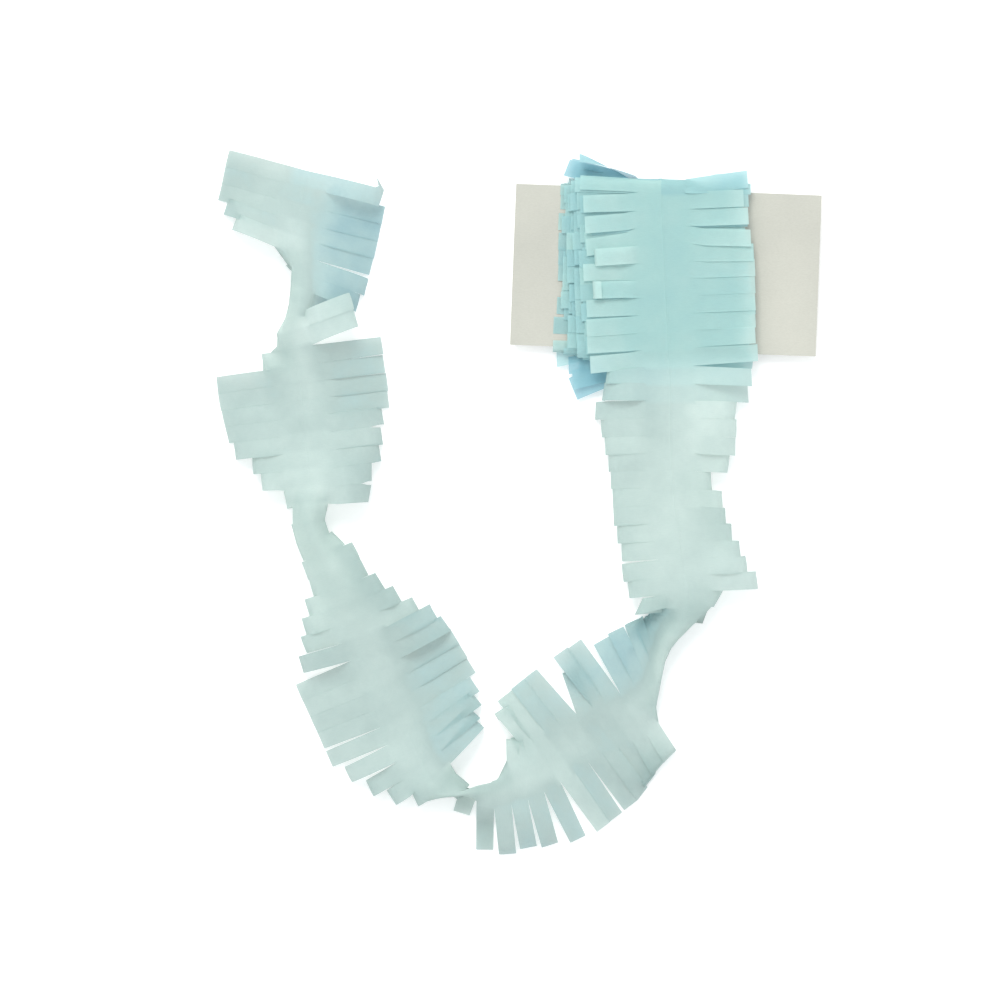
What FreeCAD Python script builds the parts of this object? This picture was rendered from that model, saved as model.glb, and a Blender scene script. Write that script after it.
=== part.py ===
"""Tissue paper fringe garland, part wound round its card.

One strip of tissue paper, 4 in wide, is cut into fringe along both edges and creased
down the middle.  About ten turns of it are wound round a plain flat card, and the free
run leaves the front of the winding and lies beside it on the table, curving round in a
U with three places where the strip stands on edge.  The strip is one piece, so the
winding and the free run are one solid.  The card is the other piece.

Frame: +Z up from the table, X along the card, origin under the middle of the object.
Millimetres.
"""
import FreeCAD, Part
import math
import os

os.makedirs("parts", exist_ok=True)

doc = FreeCAD.newDocument("fringe_garland")

# ---------------------------------------------------------------- driving dimensions
SIZES = [
    # alias, value, what it is
    ("card_length", 186, "card, end to end"),
    ("card_width", 98, "card, the way the strip is wound"),
    ("card_thickness", 0.6, "stiff paperboard"),
    ("card_corner", 0.4, "corner radius of the cut card"),
    ("strip_width", 102, "tissue strip, fringe end to fringe end"),
    ("band_width", 28, "uncut middle of the strip"),
    ("finger_pitch", 10.5, "from slit to slit"),
    ("slit_gap", 0.8, "least opening of a slit at the fringe end"),
    ("sheet_thickness", 0.8, "free run, tissue and its fine crumple"),
    ("ring_thickness", 1.45, "two loose turns of tissue"),
    ("ring_count", 5, "pairs of turns"),
    ("top_step", 1.1, "growth of each pair at the upper edge"),
    ("bottom_step", 2.0, "growth of each pair at the lower edge"),
    ("first_left", -68, "left end of the innermost pair"),
    ("left_step", 5, "each pair is wound this far to the right of the last"),
    ("roll_x", 89.0, "middle of the card"),
    ("roll_y", 140.5, "middle of the card"),
    ("roll_turn", -2.2, "turn of the card in the table's plane"),
    ("roll_z", 7.55, "middle of the card above the table"),
]
sheet = doc.addObject("Spreadsheet::Sheet", "dims")
for row, (alias, value, note) in enumerate(SIZES, start=1):
    sheet.set(f"A{row}", alias)
    sheet.set(f"B{row}", str(value))
    sheet.set(f"C{row}", note)
    sheet.setAlias(f"B{row}", alias)
doc.recompute()


def dim(alias):
    return float(sheet.get(alias))


def plane(body, role):
    return next(o for o in body.Origin.OriginFeatures if o.Role == role)


def place(obj):
    """Puts a body where the card lies."""
    obj.Placement = FreeCAD.Placement(
        FreeCAD.Vector(dim("roll_x"), dim("roll_y"), dim("roll_z")),
        FreeCAD.Rotation(FreeCAD.Vector(0, 0, 1), dim("roll_turn")),
    )
    obj.setExpression(".Placement.Base.x", "dims.roll_x")
    obj.setExpression(".Placement.Base.y", "dims.roll_y")
    obj.setExpression(".Placement.Base.z", "dims.roll_z")
    obj.setExpression(".Placement.Rotation.Angle", "dims.roll_turn")


# ---------------------------------------------------------------- the card
card = doc.addObject("PartDesign::Body", "card_body")
card.Label = "winding_card"
outline = card.newObject("Sketcher::SketchObject", "card_outline")
outline.AttachmentSupport = [(plane(card, "XY_Plane"), "")]
outline.MapMode = "FlatFace"
outline.setExpression(".AttachmentOffset.Base.z", "-dims.card_thickness / 2")


def rectangle(sk, half_x, half_y, x_expr, y_expr, tag):
    """A rectangle about the sketch's own centre, its half sizes bound to the sheet."""
    V, L = FreeCAD.Vector, Part.LineSegment
    c = [(-half_x, -half_y), (half_x, -half_y), (half_x, half_y), (-half_x, half_y)]
    g = [
        sk.addGeometry(L(V(*c[i], 0), V(*c[(i + 1) % 4], 0)), False) for i in range(4)
    ]
    for i in range(4):
        sk.addConstraint(Sketcher.Constraint("Coincident", g[i], 2, g[(i + 1) % 4], 1))
    for i in (0, 2):
        sk.addConstraint(Sketcher.Constraint("Horizontal", g[i]))
    for i in (1, 3):
        sk.addConstraint(Sketcher.Constraint("Vertical", g[i]))
    sk.addConstraint(Sketcher.Constraint("Symmetric", g[0], 1, g[1], 2, -1, 1))
    k = sk.addConstraint(Sketcher.Constraint("DistanceX", g[0], 1, g[0], 2, 2 * half_x))
    sk.renameConstraint(k, tag + "_x")
    sk.setExpression(f"Constraints.{tag}_x", x_expr)
    k = sk.addConstraint(Sketcher.Constraint("DistanceY", g[1], 1, g[1], 2, 2 * half_y))
    sk.renameConstraint(k, tag + "_y")
    sk.setExpression(f"Constraints.{tag}_y", y_expr)


import Sketcher  # noqa: E402  (after Part, which it builds on)

rectangle(
    outline,
    dim("card_length") / 2,
    dim("card_width") / 2,
    "dims.card_length",
    "dims.card_width",
    "card",
)
doc.recompute()
board = card.newObject("PartDesign::Pad", "card_board")
board.Profile = outline
board.Length = dim("card_thickness")
board.setExpression("Length", "dims.card_thickness")
doc.recompute()
uprights = [
    f"Edge{n}"
    for n, e in enumerate(board.Shape.Edges, start=1)
    if abs(e.Vertexes[0].Z - e.Vertexes[-1].Z) > dim("card_thickness") / 2
]
corners = card.newObject("PartDesign::Fillet", "card_corners")
corners.Base = (board, uprights)
corners.Radius = dim("card_corner")
corners.setExpression("Radius", "dims.card_corner")
card.Tip = corners
place(card)
doc.recompute()

# ---------------------------------------------------------------- the winding
# Section across the card: each pair of turns is a flat loop with round ends, and the
# pairs are wound one over the other, each a step further to the right.  The innermost
# loop closes on the card itself, so the winding grips it.
winding = doc.addObject("PartDesign::Body", "winding_body")
winding.Label = "winding"


def loop_sizes(n):
    """Half thickness, reach at the upper edge and reach at the lower edge of loop n."""
    half = dim("card_thickness") / 2 + n * dim("ring_thickness")
    base = dim("card_width") / 2 + dim("card_thickness") / 2 + dim("ring_thickness")
    return (
        half,
        base + (n - 1) * dim("top_step"),
        base + (n - 1) * dim("bottom_step"),
    )


def racetrack(sk, n, tag):
    """The outline of loop n: two straights and two half circles, bound to the sheet."""
    V = FreeCAD.Vector
    half, up, down = loop_sizes(n)
    yc, yd = up - half, -(down - half)
    top = sk.addGeometry(Part.LineSegment(V(yd, half, 0), V(yc, half, 0)), False)
    right = sk.addGeometry(
        Part.ArcOfCircle(
            Part.Circle(V(yc, 0, 0), V(0, 0, 1), half), -math.pi / 2, math.pi / 2
        ),
        False,
    )
    low = sk.addGeometry(Part.LineSegment(V(yc, -half, 0), V(yd, -half, 0)), False)
    left = sk.addGeometry(
        Part.ArcOfCircle(
            Part.Circle(V(yd, 0, 0), V(0, 0, 1), half), math.pi / 2, 3 * math.pi / 2
        ),
        False,
    )
    sk.addConstraint(Sketcher.Constraint("Tangent", top, 2, right, 2))
    sk.addConstraint(Sketcher.Constraint("Tangent", right, 1, low, 1))
    sk.addConstraint(Sketcher.Constraint("Tangent", low, 2, left, 2))
    sk.addConstraint(Sketcher.Constraint("Tangent", left, 1, top, 1))
    sk.addConstraint(Sketcher.Constraint("Horizontal", top))
    sk.addConstraint(Sketcher.Constraint("Horizontal", low))
    sk.addConstraint(Sketcher.Constraint("PointOnObject", right, 3, -1))
    radius = f"(dims.card_thickness / 2 + {n} * dims.ring_thickness)"
    base = "(dims.card_width / 2 + dims.card_thickness / 2 + dims.ring_thickness)"
    for name, kind, args, value, expr in (
        ("r", "Radius", (right,), half, radius),
        (
            "up",
            "DistanceX",
            (-1, 1, right, 3),
            yc,
            f"{base} + {n - 1} * dims.top_step - {radius}",
        ),
        (
            "dn",
            "DistanceX",
            (left, 3, -1, 1),
            -yd,
            f"{base} + {n - 1} * dims.bottom_step - {radius}",
        ),
    ):
        k = sk.addConstraint(Sketcher.Constraint(kind, *args, value))
        sk.renameConstraint(k, f"{tag}_{name}")
        sk.setExpression(f"Constraints.{tag}_{name}", expr)


rings = int(dim("ring_count"))
for n in range(1, rings + 1):
    sk = winding.newObject("Sketcher::SketchObject", f"loop_{n}")
    sk.AttachmentSupport = [(plane(winding, "YZ_Plane"), "")]
    sk.MapMode = "FlatFace"
    sk.setExpression(
        ".AttachmentOffset.Base.z", f"dims.first_left + {n - 1} * dims.left_step"
    )
    racetrack(sk, n, "outer")
    if n == 1:
        rectangle(
            sk,
            dim("card_width") / 2,
            dim("card_thickness") / 2,
            "dims.card_width",
            "dims.card_thickness",
            "slot",
        )
    else:
        racetrack(sk, n - 1, "inner")
    doc.recompute()
    pad = winding.newObject("PartDesign::Pad", f"turns_{n}")
    pad.Profile = sk
    pad.Length = dim("strip_width")
    pad.setExpression("Length", "dims.strip_width")
    winding.Tip = pad
    doc.recompute()
place(winding)
doc.recompute()

# ---------------------------------------------------------------- the free run
# The strip's own geometry, slit by slit.  Row n lies between slit n and slit n + 1 and
# carries one finger of fringe on each side of the uncut band.  INNER is the side that
# faces into the U.
CREASE = [  # x, y, z of the crease line at every slit of the free run
    (90.9, 81.9, 14.8), (91.2, 71.5, 15.0), (91.2, 61.1, 15.0), (91.2, 50.8, 15.0), (91.2, 39.8, 15.0),
    (91.5, 29.4, 14.8), (92.1, 19.0, 14.5), (92.7, 8.1, 14.2), (93.9, -2.3, 14.0), (95.2, -12.7, 14.0),
    (96.7, -23.7, 14.0), (98.5, -34.0, 14.0), (100.6, -45.0, 14.5), (102.8, -55.4, 16.0), (104.0, -64.5, 19.0),
    (100.3, -72.5, 22.0), (94.2, -79.8, 23.5), (88.8, -87.7, 24.0), (85.1, -96.3, 24.0), (82.7, -104.8, 23.0),
    (79.6, -113.9, 20.5), (74.1, -121.3, 17.0), (68.0, -128.0, 13.5), (59.5, -133.2, 11.0), (50.9, -137.7, 9.0),
    (41.8, -142.0, 7.5), (33.2, -146.9, 6.0), (24.7, -151.8, 5.0), (16.2, -156.6, 5.5), (10.7, -162.7, 9.0),
    (2.4, -167.3, 13.0), (-6.4, -170.1, 16.5), (-14.9, -171.9, 19.0), (-25.3, -172.8, 20.5),
    (-35.1, -174.3, 21.0), (-43.9, -174.6, 19.0), (-54.0, -172.2, 15.0), (-59.5, -163.4, 11.0),
    (-61.6, -153.0, 9.0), (-67.7, -143.2, 8.0), (-72.9, -132.2, 6.5), (-77.5, -121.3, 5.5), (-82.0, -112.1, 5.0),
    (-86.9, -102.4, 6.0), (-91.5, -92.0, 8.0), (-95.2, -82.2, 11.0), (-100.0, -72.5, 14.0), (-104.9, -62.7, 17.0),
    (-108.9, -52.3, 19.0), (-112.5, -42.0, 20.5), (-118.0, -31.6, 22.0), (-124.7, -22.4, 23.5),
    (-127.8, -12.1, 24.5), (-127.5, -1.7, 24.0), (-126.9, 8.1, 20.5), (-127.2, 19.0, 17.0), (-128.4, 30.0, 13.5),
    (-129.6, 40.7, 10.5), (-131.2, 51.1, 8.5), (-132.4, 61.4, 7.0), (-133.3, 71.8, 7.0), (-134.2, 82.2, 9.0),
    (-135.1, 92.5, 13.0), (-136.0, 102.0, 17.0), (-135.7, 111.8, 20.0), (-134.5, 121.5, 21.0),
    (-133.6, 131.3, 20.0), (-133.3, 141.0, 17.5), (-133.9, 150.8, 14.5), (-134.5, 160.6, 11.5),
    (-134.2, 170.9, 9.0), (-133.3, 181.3, 7.0), (-131.5, 191.7, 6.0), (-129.3, 202.0, 5.5),
]
INNER_TIPS = [  # x, y, z of each fringe end
    (54.0, 75.8, 9), (51.2, 66.6, 2), (46.7, 55.0, 0.6), (49.7, 44.0, 0.6), (52.5, 33.4, 0.6),
    (54.0, 23.0, 0.6), (55.8, 12.9, 0.6), (56.4, 2.0, 0.6), (57.6, -9.6, 0.6), (59.5, -20.3, 0.6),
    (62.2, -31.0, 0.6), (62.5, -43.8, 0.6), (66.2, -54.2, 2), (72.9, -63.9, 6), (74.1, -67.6, 0.6),
    (72.6, -69.4, 0.6), (71.1, -71.2, 0.6), (69.5, -72.8, 0.6), (67.7, -74.3, 0.6), (65.0, -76.1, 0.6),
    (58.3, -79.2, 0.6), (48.8, -84.7, 0.6), (32.6, -87.1, 0.6), (24.4, -92.0, 0.6), (19.8, -101.7, 0.6),
    (6.4, -105.7, 0.6), (-0.9, -111.2, 0.6), (-8.2, -117.6, 0.6), (-11.0, -126.8, 2), (-5.8, -142.6, 0.6),
    (-7.0, -153.0, 0.6), (-13.7, -160.9, 0.6), (-22.3, -164.0, 0.6), (-29.6, -164.0, 0.6), (-36.3, -164.6, 0.6),
    (-41.2, -163.4, 0.6), (-42.4, -158.5, 0.6), (-26.5, -135.9, 0.6), (-27.1, -127.4, 0.6), (-25.0, -116.4, 0.6),
    (-29.6, -99.9, 0.6), (-34.5, -90.8, 0.6), (-39.6, -82.2, 0.6), (-45.8, -74.9, 0.6), (-52.5, -67.6, 0.6),
    (-62.8, -63.3, 0.6), (-74.7, -56.6, 0.6), (-85.1, -48.7, 0.6), (-94.9, -40.1, 0.6), (-98.5, -30.1, 0.6),
    (-110.1, -21.2, 0.6), (-118.0, -16.0, 0.6), (-117.7, -6.0, 0.6), (-91.4, 4.7, 0.6), (-90.8, 17.5, 0.6),
    (-85.1, 29.4, 0.6), (-84.5, 39.8, 0.6), (-83.3, 52.0, 0.6), (-80.2, 62.3, 0.6), (-80.8, 72.7, 0.6),
    (-82.7, 83.7, 0.6), (-83.9, 95.0, 1.5), (-98.5, 107.5, 6), (-98.8, 111.4, 3), (-98.8, 115.1, 1.5),
    (-98.2, 118.8, 0.6), (-97.3, 122.7, 0.6), (-94.9, 130.7, 0.6), (-90.3, 142.9, 0.6), (-88.1, 153.2, 0.6),
    (-85.7, 163.6, 0.6), (-83.3, 174.6, 0.6), (-86.3, 186.8, 2),
]
OUTER_TIPS = [  # x, y, z of each fringe end
    (140.6, 75.2, 10), (139.1, 65.4, 3), (131.5, 55.0, 0.6), (131.9, 44.3, 0.6), (131.5, 33.1, 0.6),
    (127.5, 22.7, 0.6), (116.8, 11.9, 2), (123.1, 0.7, 0.6), (125.4, -9.3, 0.6), (129.0, -18.8, 0.6),
    (133.9, -29.2, 0.6), (137.6, -38.3, 0.6), (144.1, -48.1, 0.6), (123.5, -56.6, 2), (118.6, -62.1, 0.6),
    (111.9, -69.4, 0.6), (105.2, -76.7, 0.6), (93.0, -93.8, 0.6), (88.8, -103.6, 0.6), (86.3, -115.8, 0.6),
    (88.1, -134.7, 0.6), (93.0, -154.8, 0.6), (86.3, -162.7, 0.6), (80.2, -170.7, 0.6), (75.0, -178.3, 0.6),
    (68.0, -185.3, 0.6), (58.3, -192.6, 0.6), (51.5, -198.7, 0.6), (35.7, -206.1, 0.6), (18.6, -209.7, 0.6),
    (5.5, -210.9, 0.6), (-7.3, -214.4, 0.6), (-21.3, -212.5, 0.6), (-35.4, -190.2, 2), (-43.0, -181.7, 0.6),
    (-63.7, -180.4, 2), (-77.8, -180.4, 0.6), (-91.2, -174.9, 0.6), (-104.0, -166.4, 0.6), (-115.6, -157.0, 0.6),
    (-120.8, -146.0, 0.6), (-125.4, -136.5, 0.6), (-129.6, -126.5, 0.6), (-134.5, -116.7, 0.6),
    (-133.3, -99.6, 0.6), (-132.1, -87.7, 0.6), (-131.0, -76.7, 0.6), (-129.3, -65.1, 0.6), (-126.1, -52.6, 0.6),
    (-130.2, -42.6, 0.6), (-133.3, -30.7, 0.6), (-137.7, -20.6, 0.6), (-138.2, -7.2, 0.6), (-142.4, 0.4, 0.6),
    (-156.5, 11.4, 0.6), (-162.3, 21.5, 0.6), (-172.9, 30.6, 0.6), (-178.1, 40.4, 0.6), (-180.3, 50.1, 0.6),
    (-183.3, 60.2, 0.6), (-184.2, 70.5, 0.6), (-156.5, 83.7, 4), (-145.5, 91.0, 0.6), (-147.3, 102.0, 0.6),
    (-143.7, 113.0, 0.6), (-141.8, 122.7, 0.6), (-141.8, 132.5, 0.6), (-142.4, 142.3, 0.6), (-174.2, 170.3, 0.6),
    (-178.7, 179.5, 0.6), (-182.5, 188.6, 0.6), (-180.4, 198.7, 0.6), (-178.2, 209.0, 0.6),
]


def build_free_run():
    """One closed solid: a thin sheet with a slit between each two fingers."""
    V = FreeCAD.Vector
    band = dim("band_width") / dim("strip_width")  # share of each half that is uncut
    pitch, gap, thick = dim("finger_pitch"), dim("slit_gap"), dim("sheet_thickness")
    crease = [V(*p) for p in CREASE]
    tips = {"in": [V(*p) for p in INNER_TIPS], "out": [V(*p) for p in OUTER_TIPS]}
    rows = len(crease) - 1

    # where each slit meets the fringe ends, between the two rows' own ends
    ends, roots = {}, {}
    for side, own in tips.items():
        e = [(own[max(k - 1, 0)] + own[min(k, rows - 1)]) * 0.5 for k in range(rows + 1)]
        e[0] = e[0] + (crease[0] - crease[1]) * 0.5
        e[-1] = e[-1] + (crease[-1] - crease[-2]) * 0.5
        ends[side] = e
        roots[side] = []
        for k in range(rows + 1):
            p = crease[k] + (e[k] - crease[k]) * band
            drop = crease[k].z - e[k].z
            roots[side].append(p + V(0, 0, min(3.0, 0.12 * max(drop, 0))))
    # the first slit's line lies inside the outermost turn, which it grows out of
    flat = dim("roll_z") * 2 - dim("ring_thickness") / 2
    back = V(0.4, 9.0, 0)
    crease[0] = V(crease[0].x, crease[0].y, flat) + back
    for side, x in (("in", 44.0), ("out", 138.0)):
        ends[side][0] = V(x, crease[0].y + (2.2 if side == "in" else -1.4), flat)
        roots[side][0] = crease[0] + (ends[side][0] - crease[0]) * band
        roots[side][0].z = flat

    points, normals, tris, walls = [], [], [], []

    def add(p):
        points.append(p)
        normals.append(V(0, 0, 0))
        return len(points) - 1

    def share(way):
        """How far a finger's corner goes towards the slit: half a finger at most."""
        return max(0.25, min(1 - gap / 2 / way.Length, pitch / 2 / way.Length))

    c_id = [add(p) for p in crease]
    r_id = {s: [add(p) for p in roots[s]] for s in roots}

    def quad(a, b, c, d):
        """Two triangles, seen anticlockwise from the upper side of the sheet."""
        for t in ((a, b, c), (a, c, d)):
            n = (points[t[1]] - points[t[0]]).cross(points[t[2]] - points[t[0]])
            for i in t:
                normals[i] = normals[i] + n
            tris.append(t)

    for i in range(rows):
        # uncut band, both sides of the crease
        quad(r_id["out"][i], r_id["out"][i + 1], c_id[i + 1], c_id[i])
        quad(c_id[i], c_id[i + 1], r_id["in"][i + 1], r_id["in"][i])
        for side in ("out", "in"):
            tip, e = tips[side][i], ends[side]
            a_pt = tip + (e[i] - tip) * share(e[i] - tip)
            b_pt = tip + (e[i + 1] - tip) * share(e[i + 1] - tip)
            if i == 0:  # this finger starts inside the winding
                a_pt = e[0]
            a, b = add(a_pt), add(b_pt)
            ra, rb = r_id[side][i], r_id[side][i + 1]
            if side == "out":
                quad(a, b, rb, ra)
            else:
                quad(ra, rb, b, a)
    # every edge used once is an edge of the sheet
    used = {}
    for t in tris:
        for u, v in ((t[0], t[1]), (t[1], t[2]), (t[2], t[0])):
            used[(u, v)] = used.get((u, v), 0) + 1
    count = len(points)
    verts = []
    for s in (0.5, -0.5):
        for p, n in zip(points, normals):
            m = V(n)
            m.normalize()
            verts.append(p + m * (thick * s))
    facets = [t for t in tris]
    facets += [(c + count, b + count, a + count) for a, b, c in tris]
    for u, v in used:
        if (v, u) not in used:
            facets += [(v, u, u + count), (v, u + count, v + count)]
    low = min(p.z for p in verts)
    if low < 0:  # nothing reaches under the table
        verts = [V(p.x, p.y, max(p.z, 0.0)) for p in verts]
    shape = Part.Shape()
    shape.makeShapeFromMesh((verts, facets), 0.001)
    shell = shape.Shells[0] if shape.Shells else Part.makeShell(shape.Faces)
    solid = Part.makeSolid(shell)
    if solid.Volume < 0:
        solid.reverse()
    return solid


run = doc.addObject("Part::Feature", "free_run")
run.Label = "free_run"
run.Shape = build_free_run()
run.Placement = FreeCAD.Placement()
doc.recompute()

garland = doc.addObject("Part::MultiFuse", "garland")
garland.Label = "fringe_garland"
garland.Shapes = [winding, run]
doc.recompute()

# ---------------------------------------------------------------- checks and files
for obj in doc.Objects:
    bad = [s for s in obj.State if s in ("Invalid", "Error")]
    if bad:
        raise RuntimeError(f"{obj.Name} is {bad}")
pieces = [card, garland]
for obj in pieces:
    shape = obj.Shape
    if shape.isNull() or not shape.isValid():
        raise RuntimeError(f"{obj.Label} has no valid shape")
    if len(shape.Solids) != 1:
        raise RuntimeError(f"{obj.Label} has {len(shape.Solids)} solids")
    box = shape.BoundBox
    print(
        f"{obj.Label}: volume {shape.Volume:.0f} mm3, faces {len(shape.Faces)}, "
        f"x {box.XMin:.1f}..{box.XMax:.1f} y {box.YMin:.1f}..{box.YMax:.1f} "
        f"z {box.ZMin:.2f}..{box.ZMax:.2f}"
    )
    shape.exportStep(f"parts/{obj.Label}.step")
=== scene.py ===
"""Tissue paper fringe garland, part wound round its card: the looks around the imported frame.

One strip of tissue, 102 mm wide, cut into 37 mm fringe along both edges with a 28 mm
uncut band between them and a crease down the middle.  The tables and helpers work in
millimetres in the frame's own axes; the meshes are made in metres.
"""
import math

import bpy
import numpy as np
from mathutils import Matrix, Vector, noise


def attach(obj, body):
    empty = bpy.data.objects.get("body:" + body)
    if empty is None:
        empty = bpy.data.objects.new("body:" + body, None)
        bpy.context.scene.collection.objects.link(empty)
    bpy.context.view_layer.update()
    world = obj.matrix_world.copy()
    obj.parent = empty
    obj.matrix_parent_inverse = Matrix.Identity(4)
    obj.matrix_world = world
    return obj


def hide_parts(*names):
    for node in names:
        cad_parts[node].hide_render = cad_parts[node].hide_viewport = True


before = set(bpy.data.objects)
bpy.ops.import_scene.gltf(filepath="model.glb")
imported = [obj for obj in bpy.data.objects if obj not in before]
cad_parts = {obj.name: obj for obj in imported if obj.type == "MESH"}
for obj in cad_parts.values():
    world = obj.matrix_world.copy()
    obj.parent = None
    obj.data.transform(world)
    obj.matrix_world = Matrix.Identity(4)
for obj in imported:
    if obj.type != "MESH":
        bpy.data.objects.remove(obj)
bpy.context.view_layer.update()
RNG = np.random.default_rng(1105)

HALF = 51.0  # crease to fringe end
BAND = 14.0  # crease to the end of the slits
PITCH = 10.5  # slit to slit
T_BAND = np.array([0.0, 0.7, 2.2, 4.8, 8.0, 11.2, BAND])
T_FRINGE = BAND + (HALF - BAND) * np.linspace(0, 1, 15)[1:]
TS = np.concatenate([T_BAND, T_FRINGE])
NB, NT, NQ = len(T_BAND), len(TS), 4
QS = np.linspace(0, 1, NQ + 1)

# The crease of the free run, slit line by slit line: x, y, z.
CREASE = [
    (90.9, 81.9, 14.8),
    (91.2, 71.5, 15.0),
    (91.2, 61.1, 15.0),
    (91.2, 50.8, 15.0),
    (91.2, 39.8, 15.0),
    (91.5, 29.4, 14.8),
    (92.1, 19.0, 14.5),
    (92.7, 8.1, 14.2),
    (93.9, -2.3, 14.0),
    (95.2, -12.7, 14.0),
    (96.7, -23.7, 14.0),
    (98.5, -34.0, 14.0),
    (100.6, -45.0, 14.5),
    (102.8, -55.4, 16.0),
    (102.8, -64.2, 17.0),
    (99.1, -72.2, 17.5),
    (93.6, -79.8, 17.5),
    (88.5, -88.0, 17.0),
    (85.4, -97.5, 16.0),
    (83.6, -107.2, 15.0),
    (80.8, -116.4, 13.0),
    (76.6, -124.6, 11.0),
    (70.1, -130.4, 9.0),
    (61.0, -133.8, 7.0),
    (51.2, -137.7, 5.0),
    (41.8, -142.0, 4.5),
    (33.2, -146.9, 5.0),
    (24.7, -151.8, 6.5),
    (16.8, -157.6, 10.0),
    (10.1, -163.4, 13.5),
    (1.8, -167.3, 16.5),
    (-6.7, -169.5, 19.0),
    (-15.6, -171.9, 20.5),
    (-25.9, -173.7, 20.5),
    (-36.0, -176.5, 19.0),
    (-45.1, -176.8, 17.5),
    (-52.2, -170.7, 15.5),
    (-57.6, -161.5, 12.0),
    (-62.5, -152.1, 9.0),
    (-67.4, -142.3, 7.0),
    (-72.0, -132.6, 6.0),
    (-76.2, -122.5, 5.5),
    (-80.8, -112.4, 5.0),
    (-84.8, -102.7, 6.0),
    (-89.1, -92.3, 8.5),
    (-93.6, -82.5, 11.5),
    (-99.1, -72.8, 14.5),
    (-104.3, -62.7, 18.0),
    (-108.3, -52.6, 20.0),
    (-112.2, -42.6, 21.5),
    (-117.7, -33.4, 22.5),
    (-123.5, -23.7, 23.5),
    (-126.9, -13.3, 24.0),
    (-127.2, -2.9, 22.5),
    (-126.6, 7.4, 19.0),
    (-127.2, 18.4, 16.0),
    (-128.4, 29.7, 13.0),
    (-129.6, 40.4, 10.5),
    (-131.2, 51.1, 8.5),
    (-132.4, 61.4, 7.0),
    (-133.9, 71.8, 8.0),
    (-136.3, 81.9, 10.5),
    (-140.3, 91.3, 14.0),
    (-143.3, 100.5, 18.0),
    (-140.3, 109.9, 21.0),
    (-137.9, 119.7, 23.0),
    (-137.2, 129.4, 23.5),
    (-136.6, 139.5, 22.5),
    (-136.9, 150.5, 19.5),
    (-136.8, 159.8, 15.5),
    (-134.8, 169.1, 12.0),
    (-133.3, 179.8, 9.0),
    (-131.5, 190.4, 7.0),
    (-129.3, 201.4, 6.0),
]
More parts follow.
